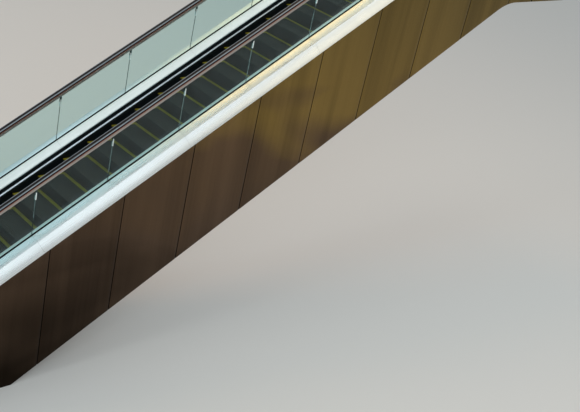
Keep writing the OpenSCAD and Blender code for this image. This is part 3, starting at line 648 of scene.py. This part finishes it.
# Bright white bars that stand in for the glint at each clip: painted highlight.
painted_glint_white = plain_finish("painted_glint_white", (0.78, 0.84, 0.82), 0.35, 0.0)
skirt_black = black_skirt()
gasket_black = plain_finish("gasket_black", (0.005, 0.006, 0.007), 0.6, 0.0, gloss=0.12)
strip_grey = plain_finish("strip_grey", (0.030, 0.048, 0.046), 0.5, 0.0, gloss=0.2)
bristle_black = plain_finish("bristle_black", (0.010, 0.010, 0.010), 0.6, 0.0, gloss=0.25)
# Near black so the truss seen through the panel gaps reads as shade: painted shade.
housing_painted_shade = plain_finish("housing_painted_shade", (0.020, 0.018, 0.016), 0.6, 0.0)
end_grey = plain_finish("end_grey", (0.20, 0.20, 0.205), 0.5, 0.0, 25.0, 0.0002)
soffit_grey = plain_finish("soffit_grey", (0.16, 0.145, 0.13), 0.45, 0.0, 25.0, 0.0002)
zinc = galvanised()


def finish_node(name, material, bevel=0.0):
    """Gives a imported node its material, and rounds its edges where bevel says."""
    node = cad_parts[name]
    for place in node.material_slots:
        place.material = material
    if bevel:
        weld = node.modifiers.new("weld", "WELD")
        weld.merge_threshold = 0.00002
        edge = node.modifiers.new("edges", "BEVEL")
        edge.width = bevel
        edge.segments = 2
        edge.limit_method = "ANGLE"
        edge.angle_limit = math.radians(40)
        edge.harden_normals = True


for side in SIDES:
    finish_node(f"skirt_{side}", skirt_black, 0.0008)
    finish_node(f"glass_{side}", glass)
    finish_node(f"glass_clips_{side}", strip_grey, 0.0005)
for end in LEVEL:
    finish_node(f"newel_front_{end}", front_steel, 0.001)
    finish_node(f"handrail_inlets_{end}", gasket_black, 0.002)
    finish_node(f"landing_frame_{end}", frame_steel, 0.001)
    finish_node(f"end_plate_{end}", end_grey, 0.0015)
    finish_node(f"bearing_{end}", zinc, 0.0015)
finish_node("truss_housing", housing_painted_shade)
finish_node("soffit_panels", soffit_grey, 0.001)


def deck_joints(first):
    """Plan places of the joints between lengths of deck, at every second glass joint."""
    found = glass_joints()[first::DECK_PANELS]
    return [DECK_X0, *(x for x in found if DECK_LINE.bend_end < x < DECK_LINE.bend_start), DECK_X1]


def lengths(section, ends, name, material):
    """Lengths of deck on both sides, with an open joint between two of them."""
    for side, sign in SIDES.items():
        shape = Shape()
        for x0, x1 in zip(ends, ends[1:]):
            lead = 0 if x0 == ends[0] else DECK_JOINT / 2
            tail = 0 if x1 == ends[-1] else DECK_JOINT / 2
            shape.sweep(section, DECK_LINE.places(x0 + lead, x1 - tail), sign)
        shape.piece(f"{name}_{side}_sheet", material, "deck_steel", f"{name}_{side}", sharp=40)


def sheet_section(points, t):
    """A folded sheet: the outer line and the line t inside it."""
    line = np.array(points, float)
    inner = []
    for i in range(len(line)):
        before = line[i] - line[i - 1] if i else line[1] - line[0]
        after = line[i + 1] - line[i] if i + 1 < len(line) else before
        before, after = before / np.linalg.norm(before), after / np.linalg.norm(after)
        normal = np.array([-before[1] - after[1], before[0] + after[0]])
        normal /= np.linalg.norm(normal)
        inner.append(line[i] + normal * t / (normal @ np.array([-after[1], after[0]])))
    return [tuple(p) for p in line] + [tuple(p) for p in reversed(inner)]


def decks():
    """Folded sheets outside and inside the glass channel."""
    far, near, edge = GLASS_Y + CHANNEL_HALF, GLASS_Y - CHANNEL_HALF, GLASS_Y + EDGE_OUT
    outer = [
        (far + SEAT, 0), (far + DECK_LEDGE, 0), (GLASS_Y + CREASE_OUT, -OUTER_FALL),
        (edge, -EDGE_FALL), (edge - DECK_RETURN, -EDGE_FALL),
    ]
    inner = [
        (near - SEAT, 0), (near - DECK_LEDGE, 0), (HALF_CHANNEL, -INNER_FALL),
        (HALF_CHANNEL, -INNER_FALL - DECK_LIP),
    ]
    for outline, t, first, name, material in (
        (outer, -DECK_T, 2, "outer_deck", deck_steel), (inner, DECK_T, 1, "inner_deck", inner_steel)
    ):
        section = rounded(sheet_section(outline, t), DECK_FOLD_R)
        lengths(section, deck_joints(first), name, material)


def at_glass(section):
    """A section drawn about the glass's middle, moved out to its place."""
    return [(GLASS_Y + y, h) for y, h in section]


def flipped(half):
    """The other half of a section, from its last point back to its first."""
    return [(-y, h) for y, h in reversed(half)]


def gaskets():
    """Black clamping channel with two soft lips along the glass."""
    face, nick, shoulder, crest = GLASS_T / 2 + SEAT, 0.001, 0.007, 0.002
    lip = [
        (CHANNEL_HALF, -EDGE_FALL), (CHANNEL_HALF, nick), (CHANNEL_HALF - nick, shoulder),
        (face + crest, GASKET_UP), (face, GASKET_UP - nick), (face, -CHANNEL_FOOT - SEAT),
    ]
    for side, sign in SIDES.items():
        shape = Shape()
        places = DECK_LINE.places(DECK_X0, DECK_X1)
        shape.sweep(at_glass(lip + flipped(lip)), places, sign)
        shape.piece(
            f"glass_gasket_{side}", gasket_black, "gasket", f"glass_channel_{side}", sharp=40
        )


def joint_strips():
    """Dark H-shaped seals in the joints between two sheets of glass, under the clips."""
    web, face, wide = GLASS_JOINT / 2 - SEAT, GLASS_T / 2 + SEAL_OFF, SEAL_HALF_W
    cover = face + SEAL_T
    outline = [
        (-wide, -cover), (wide, -cover), (wide, -face), (web, -face), (web, face), (wide, face),
        (wide, cover), (-wide, cover), (-wide, face), (-web, face), (-web, -face), (-wide, -face),
    ]
    for side, sign in SIDES.items():
        shape = Shape()
        for x in glass_joints():
            low = DECK_LINE.z(x) + GASKET_UP + SEAL_FOOT
            high = RAIL_LINE.z(x) - GUIDE_H - CLIP_H - SEAL_HEAD
            points = [(x + a, sign * (GLASS_Y + b), z) for z in (low, high) for a, b in outline]
            shape.rings(points, len(outline))
        shape.piece(f"joint_strips_{side}", strip_grey, "gasket")


def clip_bars():
    """Slim white bars down both faces of the glass, over each clip and its joint: a painted glint.
    """
    inner = GLASS_T / 2 + CLIP_BAR_OFF
    for side, sign in SIDES.items():
        shape = Shape()
        for x in glass_joints():
            edge = RAIL_LINE.z(x) - GUIDE_H
            low, high = edge - CLIP_BAR[1], edge - CLIP_BAR[0]
            x0, x1 = x - CLIP_BAR_HALF_W, x + CLIP_BAR_HALF_W
            outline = rounded([(x0, low), (x1, low), (x1, high), (x0, high)], CLIP_BAR_R)
            for face in (-1, 1):
                ys = sorted(sign * GLASS_Y + face * y for y in (inner, inner + CLIP_BAR_T))
                shape.prism(outline, *ys)
        shape.piece(f"clip_bars_{side}", painted_glint_white, "guide")


def brushes():
    """Skirt brush: an extruded carrier, and tufts of bristles that reach past it."""
    line = STEP_LINE.beside(BRUSH_UP)
    root, face = HALF_CHANNEL - SEAT, HALF_CHANNEL - BRUSH_OUT
    low, high = BRUSH_SLANT, BRUSH_H - BRUSH_SLANT
    slot, inset = face + BRUSH_LIP, BRUSH_LIP + BRUSH_CHAMFER
    section = [
        (root, 0), (face, low), (face, low + BRUSH_LIP), (slot, low + inset),
        (slot, high - inset), (face, high - BRUSH_LIP), (face, high), (root, BRUSH_H),
    ]
    x0, x1 = COMB_X["lower"], COMB_X["upper"]
    for side, sign in SIDES.items():
        carrier = Shape()
        carrier.sweep(rounded(section, BRUSH_R, 1), line.places(x0, x1), sign)
        carrier.piece(
            f"brush_carrier_{side}", carrier_metal, "brush_carrier", f"skirt_brush_{side}"
        )
        bristles(side, sign, line, x0, x1, face)


def bristles(side, sign, line, x0, x1, face):
    """Tufts from the carrier's face towards the steps, each with its own lean and droop."""
    rng = np.random.default_rng(11 + sign)
    tufts = Shape()
    middle, root_t, tip_t, spread = BRUSH_H / 2, 0.005, 0.002, 1.15
    most_lean, most_fall = 0.0008, 0.001
    for i in range(int((x1 - x0) / BRISTLE_PITCH)):
        x = x0 + (i + 0.5) * BRISTLE_PITCH
        turn = line.turn(x)
        run, up = (math.cos(turn), math.sin(turn)), (-math.sin(turn), math.cos(turn))
        lean, fall = rng.uniform(-most_lean, most_lean), rng.uniform(-most_fall, most_fall)
        points = []
        for y, h, w, t, shift in (
            (face + BRISTLE_ROOT, middle, BRISTLE_W, root_t, 0.0),
            (face - BRISTLE_OUT, middle - BRISTLE_DROOP + fall, BRISTLE_W * spread, tip_t, lean),
        ):
            for along, lift in ((-w / 2, -t / 2), (w / 2, -t / 2), (0, t / 2)):
                a, b = along + shift, h + lift
                points.append(
                    (x + run[0] * a + up[0] * b, sign * y, line.z(x) + run[1] * a + up[1] * b)
                )
        tufts.rings(points, 3)
    tufts.piece(f"bristles_{side}", bristle_black, "bristles", f"skirt_bristles_{side}")


def arc(y, h, radius, turns):
    """Points of a section round a centre, at the given angles."""
    return [(y + radius * math.cos(a), h + radius * math.sin(a)) for a in turns]


def rail_section():
    """The handrail's C: from a hook round the shoulders to the other hook, and back inside."""
    side_y, hook = RAIL_W / 2, RAIL_W / 2 - 2 * RAIL_WALL
    foot_y, nick, nick_h, seam = side_y - RAIL_FOOT_R, 0.001, 0.0008, 0.0012
    outer = [(hook, nick_h), (hook + nick, 0), (foot_y, 0)]
    outer += [(foot_y + RAIL_FOOT_R * math.sin(a), RAIL_FOOT_R - RAIL_FOOT_R * math.cos(a))
              for a in (0.6, 1.1, math.pi / 2)]
    outer += [(side_y, RAIL_FABRIC), (side_y, RAIL_FABRIC + seam)]
    head, shoulder = side_y - RAIL_SOFT, RAIL_H - RAIL_DOME - RAIL_SOFT
    outer += arc(head, shoulder, RAIL_SOFT, np.linspace(0, math.radians(86), 12))
    crown = [(y, RAIL_H - RAIL_DOME * (y / head) ** 2) for y in np.linspace(head * 0.66, 0, 4)]
    inner = arc(head, shoulder, RAIL_SOFT - RAIL_WALL, np.linspace(math.pi / 2, 0, 4))
    inner += [(side_y - RAIL_WALL, RAIL_LIP), (hook + nick, RAIL_LIP), (hook, RAIL_LIP - nick)]
    right = outer + crown
    return right + flipped(right[:-1]) + flipped(inner) + inner


def rail_tone(y, h):
    """1 on the fabric lips, -1 on the shoulder band that carries the painted highlight, 0 on the
    plain rubber.
    """
    if h <= RAIL_FABRIC:
        return 1.0
    in_painted_highlight = abs(y) > RAIL_W / 2 - RAIL_SOFT and RAIL_PAINTED_HIGHLIGHT[0] < h < RAIL_PAINTED_HIGHLIGHT[1]
    return -1.0 if in_painted_highlight else 0.0


def guide_section():
    """The guide: a grooved stem that grips the glass, and a head inside the handrail."""
    half, grip = GUIDE_W / 2, GLASS_T / 2 + SEAT
    heights = [-GUIDE_H * share for share in (0.36, 0.40, 0.58, 0.62)]
    groove = zip((half, half - GUIDE_GROOVE, half - GUIDE_GROOVE, half), heights)
    stem = [
        (half, -SEAT), *groove, (half, -GUIDE_H), (grip, -GUIDE_H),
        (grip, GUIDE_GRIP - GUIDE_H + SEAT),
    ]
    neck, head = RAIL_W / 2 - 2 * RAIL_WALL - RAIL_PLAY, RAIL_W / 2 - RAIL_SOFT
    under, top = RAIL_LIP + RAIL_PLAY, RAIL_H - RAIL_WALL - RAIL_PLAY
    cap = [(-neck, -SEAT), (-neck, under), (-head, under), (-head, top)]
    return stem + flipped(stem) + cap + flipped(cap)


def handrails():
    """Rubber handrail over a grooved aluminium guide, both one loop a side."""
    section = rail_section()
    tones = [rail_tone(y, h) for y, h in section]
    for side, sign in SIDES.items():
        rail, guide = Shape(), Shape()
        rail.sweep(at_glass(section), rail_loop(INLET_RUN + END_T), sign, tones)
        rail.piece(f"handrail_loop_{side}", rubber, "handrail", f"handrail_{side}", sharp=50)
        guide.sweep(at_glass(guide_section()), rail_loop(INLET_RUN - BOOT_L - BOOT_PLAY), sign)
        guide.piece(
            f"guide_profile_{side}", guide_metal, "guide", f"handrail_guide_{side}", sharp=30
        )


def cleat_section(first, last, depth=CLEAT_H, back=RIBBON_T, tip=CLEAT_TIP):
    """Cleats first to last across a step, on a thin back, with a tone of 1 on the tips."""
    edge = (CLEAT_PITCH - tip) / 2
    section, tones = [], []
    for i in range(first, last):
        y = -STEP_W / 2 + i * CLEAT_PITCH
        start = SEAT if i == first else 0.0
        section += [
            (y + start, -depth), (y + edge - CLEAT_TAPER, -depth), (y + edge, 0),
            (y + edge + tip, 0), (y + edge + tip + CLEAT_TAPER, -depth),
        ]
        tones += [0, 0, 1, 1, 0]
    end = y + CLEAT_PITCH - SEAT
    section += [(end, -depth), (end, -back), (section[0][0], -back)]
    return section, tones + [0, 0, 0]


def level_places(z, *xs):
    """Places at one height, with their normals straight up."""
    return [(x, z, 0.0, 1.0) for x in xs]


def riser_places(depth, mitre):
    """From the nose down the curved riser, whose centre is at the tread's rear."""
    places = [(0.0, 0.0, -1.0, 1.0)] if mitre else []
    start = 0.0 if mitre else SHELL_TOP
    for i in range(1 if mitre else 0, RISER_RINGS + 1):
        turn = math.asin((start + (depth - start) * i / RISER_RINGS) / PITCH)
        places.append(
            (PITCH - PITCH * math.cos(turn), -PITCH * math.sin(turn), -math.cos(turn),
             -math.sin(turn))
        )
    return places


def step_noses():
    """Noses of all the steps between the combs, counted from the one under the lower comb."""
    line = STEP_LINE
    bend_low = line.low[0] - COMB_X["lower"]
    incline = bend_low + line.r_low * INCLINE
    bend_up = incline + (line.bend_start - line.bend_end) / math.cos(INCLINE)
    flat_up = bend_up + line.r_up * INCLINE
    total = flat_up + COMB_X["upper"] - line.up[0]
    noses = []
    for k in range(-1, math.ceil((total - PHASE) / PITCH)):
        s = PHASE + k * PITCH
        if s < bend_low:
            x = COMB_X["lower"] + s
        elif s < incline:
            x = line.low[0] + line.r_low * math.sin((s - bend_low) / line.r_low)
        elif s < bend_up:
            x = line.bend_end + (s - incline) * math.cos(INCLINE)
        elif s < flat_up:
            x = line.up[0] - line.r_up * math.sin((flat_up - s) / line.r_up)
        else:
            x = line.up[0] + s - flat_up
        noses.append((x, line.z(x)))
    return noses


def at(nose, places):
    """Places given from a step's nose, moved to where that nose is."""
    return [(nose[0] + x, nose[1] + z, nx, nz) for x, z, nx, nz in places]


def cleated(shape, cleats, nose, places):
    """Sweeps a section of cleats, with its tones, along part of one step."""
    section, tones = cleats
    shape.sweep(section, at(nose, places), 1, tones)


def steps():
    """Treads and curved risers with all their cleats, and the yellow inserts."""
    noses = step_noses()
    x_min, x_max = COMB_X["lower"] + SEAT, COMB_X["upper"] - SEAT
    insert_x = TREAD_REAR - REAR_INSERT_W
    centre = cleat_section(SIDE_CLEATS, CLEATS - SIDE_CLEATS)
    sides = [cleat_section(0, SIDE_CLEATS), cleat_section(CLEATS - SIDE_CLEATS, CLEATS)]
    full = cleat_section(0, CLEATS)
    dark = {"lower": Shape(), "upper": Shape()}
    inserts = Shape()
    shell = [
        (-STEP_W / 2, -SHELL_TOP), (STEP_W / 2, -SHELL_TOP),
        (STEP_W / 2, -RISER_T), (-STEP_W / 2, -RISER_T),
    ]
    for k, nose in enumerate(noses):
        shape = dark["lower" if k < len(noses) // 2 else "upper"]
        low, high = x_min - nose[0], x_max - nose[0]
        front, rear = max(0.0, low), min(TREAD_REAR, high)
        whole = low <= 0
        if whole and high > LEAST_TREAD:
            depth = min(RISER_DEPTH, nose[1] - PAN_TOP)
            down = riser_places(depth, True)
            cleated(shape, centre, nose, level_places(0.0, min(insert_x, high) - SEAT) + down)
            for part in sides:
                cleated(shape, part, nose, riser_places(depth, False))
            shape.sweep(shell, at(nose, level_places(0.0, rear) + down))
        if not whole:
            if insert_x > front:
                cleated(shape, centre, nose, level_places(0.0, front, insert_x - SEAT))
            shape.sweep(shell, at(nose, level_places(0.0, front, rear)))
        strip_x = min(insert_x - SEAT, high)
        if strip_x > front + LEAST_STRIP:
            strip = level_places(0.0, max(front, STRIP_START), strip_x)
            for part in sides:
                cleated(inserts, part, nose, strip)
        if rear > insert_x + LEAST_INSERT:
            cleated(inserts, full, nose, level_places(0.0, max(insert_x, front), rear))
        if whole and high > TREAD_REAR:
            bracket(shape, nose)
    dark["lower"].piece("step_cleats_lower", casting, "step_aluminium", "steps", sharp=25)
    dark["upper"].piece("step_cleats_upper", casting, "step_aluminium", sharp=25)
    inserts.piece("step_inserts_cleated", yellow, "step_yellow", "step_inserts", sharp=25)


def bracket(shape, nose):
    """Cheeks under a step, down to the tracks at its wheels."""
    track = STEP_LINE.beside(-TRACK_UNDER)
    front, rear, arch, short = 0.12, 0.325, 0.02, 0.005
    front_z = max(track.z(nose[0] + front), PAN_TOP) + SEAT
    rear_z = max(track.z(nose[0] + rear), PAN_TOP) + SEAT
    x, z = nose
    outline = [
        (x + RISER_T, z - RISER_T), (x + 2 * RISER_T, (z + front_z) / 2), (x + front, front_z),
        (x + (front + rear) / 2, (front_z + rear_z) / 2 + arch), (x + rear, rear_z),
        (x + TREAD_REAR - short, z - RISER_T),
    ]
    for sign in (-1, 1):
        shape.prism(outline, *(sign * y for y in BRACKET_Y))


def combs():
    """Comb segments with ribs on top, and a tooth in each groove between two cleats."""
    per = round(COMB_SEGMENT / CLEAT_PITCH)
    for end, level in LEVEL.items():
        way, tip, top = COMB_WAY[end], COMB_X[end], level + TOOTH_RISE
        body = Shape()
        places = level_places(top, tip, tip - way * TOOTH_L)
        places += level_places(level, tip - way * COMB_L)
        for first in range(0, CLEATS, per):
            last = min(first + per, CLEATS)
            section, tones = cleat_section(first, last, COMB_RIB_H, COMB_T, COMB_RIB_W)
            body.sweep(section, places, 1, tones)
        root, reach = tip - way * TOOTH_ROOT, tip + way * TOOTH_L
        under = level - CLEAT_H + TOOTH_CLEAR
        outline = [
            (root, under), (reach, under), (reach, level - TOOTH_DIP),
            (tip + way * TOOTH_L * 0.5, level - TOOTH_DIP * 0.3), (root, top - TOOTH_SUNK),
        ]
        for i in range(1, CLEATS):
            y = -STEP_W / 2 + i * CLEAT_PITCH
            body.prism(outline, y - TOOTH_W / 2, y + TOOTH_W / 2)
        body.piece(f"comb_teeth_{end}", comb_metal, "comb", f"comb_{end}", sharp=25)
        comb_screws(end, level, per)


def comb_screws(end, level, per):
    """Two sunk screws in each comb segment, square to its slope."""
    way = COMB_WAY[end]
    screws = Shape()
    x = COMB_X[end] - way * (COMB_L - SCREW_BACK)
    slant = Vector((way * TOOTH_RISE / (COMB_L - TOOTH_L), 0, 1))
    for first in range(0, CLEATS, per):
        for share in (0.25, 0.75):
            y = -STEP_W / 2 + (first + per * share) * CLEAT_PITCH
            if abs(y) < STEP_W / 2 - SCREW_CLEAR:
                screws.disc((x, y, level + SCREW_UP), slant, (0, 1, 0), SCREW_R, SCREW_H, 20)
    screws.piece(f"comb_screws_{end}", clip_metal, "comb")


def ribbed(shape, x0, x1, y0, y1, level):
    """A plate with fine ribs along X inside a smooth border."""
    width = y1 - y0 - 2 * PLATE_BORDER
    count = int(width / PLATE_RIB)
    pitch = width / count
    section = [(y0, -FLOOR_T), (y0, -PLATE_EDGE), (y0 + PLATE_EDGE, 0), (y0 + PLATE_BORDER, 0)]
    for i in range(count):
        y = y0 + PLATE_BORDER + i * pitch
        section += [
            (y + PLATE_RIB_SLOPE, -PLATE_RIB_H), (y + pitch / 2 - PLATE_RIB_SLOPE, -PLATE_RIB_H),
            (y + pitch / 2, 0), (y + pitch, 0),
        ]
    section += [(y1 - PLATE_EDGE, 0), (y1, -PLATE_EDGE), (y1, -FLOOR_T)]
    shape.sweep(section, level_places(level, x0, x1))


def landings():
    """Ribbed floor plates round the machine's ends, and the plates that carry the combs."""
    for end, level in LEVEL.items():
        low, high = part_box(f"floor_plate_{end}")
        comb_low, comb_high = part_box(f"comb_plate_{end}")
        if end == "lower":
            far, inner, near = low.x, comb_low.x - PLATE_GAP, high.x
        else:
            far, inner, near = high.x, comb_high.x + PLATE_GAP, low.x
        plates, middle = Shape(), Shape()
        x0, x1 = sorted((far, inner))
        split = (x0 + x1) / 2
        spans = [(x0, split - PLATE_GAP / 2), (split + PLATE_GAP / 2, x1)]
        for a, b in spans if x1 - x0 > PLATE_LONGEST else [(x0, x1)]:
            ribbed(plates, a, b, -high.y, high.y, level)
        for y0, y1 in ((-high.y, -HALF_CHANNEL), (HALF_CHANNEL, high.y)):
            ribbed(plates, *sorted((inner, near)), y0, y1, level)
        plates.piece(f"ribbed_floor_{end}", plate_steel, "floor_plate", f"floor_plate_{end}")
        ribbed(middle, comb_low.x, comb_high.x, comb_low.y, comb_high.y, level)
        middle.piece(f"ribbed_comb_plate_{end}", plate_steel, "floor_plate", f"comb_plate_{end}")


def panels_between(x0, x1):
    """Plan reach of the panels from x0 to x1, with an open gap at each joint."""
    joints = [x for x in every(PANEL_L, PANEL_START, END_UP_X - PANEL_L / 4) if x0 < x < x1]
    starts = [x0, *(x + PANEL_JOINT / 2 for x in joints)]
    return list(zip(starts, [*(x - PANEL_JOINT / 2 for x in joints), x1]))


def panel_foot(x):
    return max(0.0, SOFFIT_LINE.z(x))


def landing_top(_):
    return LEVEL["upper"] - LANDING_TRIM - SEAT


def cladding_panels():
    """Side panels under the decks, and under the upper landing's floor behind them."""
    deck_top = DECK_LINE.beside(-EDGE_FALL - SEAT).z
    spans = [(*span, deck_top) for span in panels_between(DECK_X0, DECK_X1)]
    beyond = panels_between(BASE_X["upper"] + PANEL_JOINT, END_UP_X - END_T - SEAT)
    spans += [(*span, landing_top) for span in beyond]
    rng = np.random.default_rng(5)
    for side, sign in SIDES.items():
        shape = Shape()
        for x0, x1, top in spans:
            panel(shape, x0, x1, top, sign, rng.uniform(-1, 1, 4))
        shape.piece(f"clad_panels_{side}", cladding, "cladding", f"cladding_{side}", sharp=30)


def swell(u, v, wave):
    """How far a thin panel stands out at shares u and v of its length and height."""
    across, up = math.sin(math.pi * u), math.sin(math.pi * v)
    ripple = wave[0] * math.sin(2 * math.pi * u) * math.sin(2 * math.pi * v)
    ripple += wave[1] * across * math.sin(3 * math.pi * v)
    ripple += wave[2] * across * math.sin(2 * math.pi * v)
    return PANEL_PILLOW * (0.55 * (across * up) + 0.2 * ripple)


def panel_columns(x0, x1, columns):
    """Places along a panel, with a fold at each end and one where the soffit reaches the ground."""
    fold = PANEL_FOLD / (x1 - x0)
    us = [0.0, fold, *np.linspace(0, 1, columns + 1)[1:-1], 1 - fold, 1.0]
    xs = [x0 + (x1 - x0) * u for u in us]
    kink, clear = LOW_X + (-SOFFIT_LINE.plumb - LANDING) / SLOPE, 0.004
    if xs[1] + clear < kink < xs[-2] - clear:
        xs[min(range(2, len(xs) - 2), key=lambda i: abs(xs[i] - kink))] = kink
    return xs


def panel(shape, x0, x1, top, sign, wave, columns=20, rows=28):
    """One panel as a slightly swollen sheet, its folded edges along the joints given tone 1 for
    painted seam shade.
    """
    xs = panel_columns(x0, x1, columns)
    rim = PANEL_RIM_SHARE
    vs = [0.0, rim, *np.linspace(0, 1, rows + 1)[1:-1], 1 - rim, 1.0]
    points, faces, tone = [], [], []
    for x in xs:
        u = (x - x0) / (x1 - x0)
        on_joint = min(u, 1 - u) < 1e-6
        for v in vs:
            z = panel_foot(x) + (top(x) - panel_foot(x)) * v
            depth = swell(u, v, wave) - (PANEL_RIM if on_joint or min(v, 1 - v) < 1e-6 else 0.0)
            points.append((x, sign * (PANEL_Y - PANEL_PILLOW + depth), z))
            # Joint edges get tone 1, which the cladding paints as seam shade.
            tone.append(1.0 if on_joint else 0.0)
    n, m = len(vs), len(xs)
    for i in range(m - 1):
        for j in range(n - 1):
            faces.append((i * n + j, (i + 1) * n + j, (i + 1) * n + j + 1, i * n + j + 1))
    border = [i * n for i in range(m)]
    border += [(m - 1) * n + j for j in range(1, n)]
    border += [i * n + n - 1 for i in range(m - 2, -1, -1)]
    border += list(range(n - 2, 0, -1))
    back = len(points)
    for b in border:
        x, _, z = points[b]
        points.append((x, sign * (PANEL_Y - PANEL_T), z))
        tone.append(tone[b])
    count = len(border)
    for k in range(count):
        faces.append((border[k], back + k, back + (k + 1) % count, border[(k + 1) % count]))
    faces.append(tuple(range(back, back + count)))
    shape.add(points, faces, tone=tone)


decks()
gaskets()
joint_strips()
clip_bars()
brushes()
handrails()
steps()
combs()
landings()
cladding_panels()


# Stage, light and camera
def stage():
    """A plain pale floor just under the ground line."""
    far, drop = 160.0, 0.002
    mesh = bpy.data.meshes.new("floor")
    corners = ((-far, -far), (far, -far), (far, far), (-far, far))
    mesh.from_pydata([(x, y, -drop) for x, y in corners], [], [(0, 1, 2, 3)])
    pale = Finish("pale_floor", (0.67, 0.68, 0.68), 0.9, Specular_IOR_Level=0.1)
    mesh.materials.append(pale.material)
    in_scene("floor", mesh)


def aimed(name, data, place, across, back):
    """A new object at a place, its width along across, that looks away from back."""
    turn = Matrix((across, back.cross(across), back)).transposed()
    obj = in_scene(name, data)
    obj.matrix_world = Matrix.Translation(place) @ turn.to_4x4()
    return obj


def softbox(name, place, target, size, level, colour):
    """A large area lamp, its width along X, whose face shines at a level where 1 is white."""
    lamp = bpy.data.lights.new(name, "AREA")
    lamp.shape = "RECTANGLE"
    lamp.size, lamp.size_y = size
    lamp.energy = level * math.pi * size[0] * size[1]
    lamp.color = colour
    back = (Vector(place) - Vector(target)).normalized()
    aimed(name, lamp, place, (Vector((1, 0, 0)) - back * back.x).normalized(), back)


def lights():
    """Soft lamps, cool over the lower part and warm over the upper, as the photo's hall is."""
    low, high = (6, 0, 3), (9, 0, 4)
    for lamp in (
        ("side_cool", (9, -40, 9.6), low, (24, 19), 0.85, (0.88, 0.97, 1.0)),
        ("side_warm", (33, -38, 13), high, (18, 22), 1.0, (1.0, 0.87, 0.62)),
        ("key", (6, -15, 18), (6, 0, 2), (24, 11), 1.6, (0.97, 1.0, 1.0)),
        ("top_low", (0, 0, 20), (3, 0, 2), (10, 8), 1.3, (0.97, 1.0, 1.0)),
        ("top_high", (12, -0.5, 20), high, (9, 8), 0.95, (1.0, 0.90, 0.70)),
        ("top_cool", (-0.5, 9, 20), (4, 0, 2), (10, 7), 0.5, (0.80, 0.94, 1.0)),
        ("top_warm", (10.3, 7, 20), high, (10, 6.5), 2.6, (1.0, 0.45, 0.11)),
        ("far_cool", (5, 26, 13), low, (13, 9), 0.65, (0.92, 0.90, 1.0)),
        ("far_warm", (18, 26, 15.5), high, (10, 9), 1.1, (1.0, 0.70, 0.38)),
    ):
        softbox(*lamp)


def surround():
    """A pale world, a little cooler towards the lower landing."""
    world = bpy.data.worlds.new("studio")
    nodes = Nodes(world)
    way = nodes.node("TexCoord").outputs["Generated"]
    share = nodes.node(
        "MapRange", {"interpolation_type": "SMOOTHSTEP"},
        Value=nodes.node("SeparateXYZ", Vector=way).outputs["X"], From_Min=-0.6, From_Max=0.6,
    )
    tint = nodes.mix(share.outputs["Result"], (0.46, 0.52, 0.55), (0.52, 0.515, 0.495))
    nodes.feed(tint, nodes.tree.nodes["Background"].inputs["Color"])
    bpy.context.scene.world = world


CAMERA_AT = Vector((-0.584, -10.259, 8.502))
CAMERA_HEADING = math.radians(42.716)
CAMERA_PITCH = math.radians(-25.654)
CAMERA_ROLL = math.radians(12.88)
CAMERA_LENS = 64.78


def camera():
    """The photo's own viewpoint, fitted to its straight edges."""
    data = bpy.data.cameras.new("camera")
    data.sensor_width = 36
    data.lens = CAMERA_LENS
    data.clip_end = 500
    flat = math.cos(CAMERA_PITCH)
    way = (flat * math.cos(CAMERA_HEADING), flat * math.sin(CAMERA_HEADING))
    ahead = Vector((*way, math.sin(CAMERA_PITCH)))
    right = ahead.cross(Vector((0, 0, 1))).normalized()
    up = right.cross(ahead)
    rolled = right * math.cos(CAMERA_ROLL) + up * math.sin(CAMERA_ROLL)
    bpy.context.scene.camera = aimed("camera", data, CAMERA_AT, rolled, -ahead)


stage()
lights()
surround()
camera()
bpy.context.scene.view_settings.view_transform = "Standard"

bpy.context.view_layer.update()
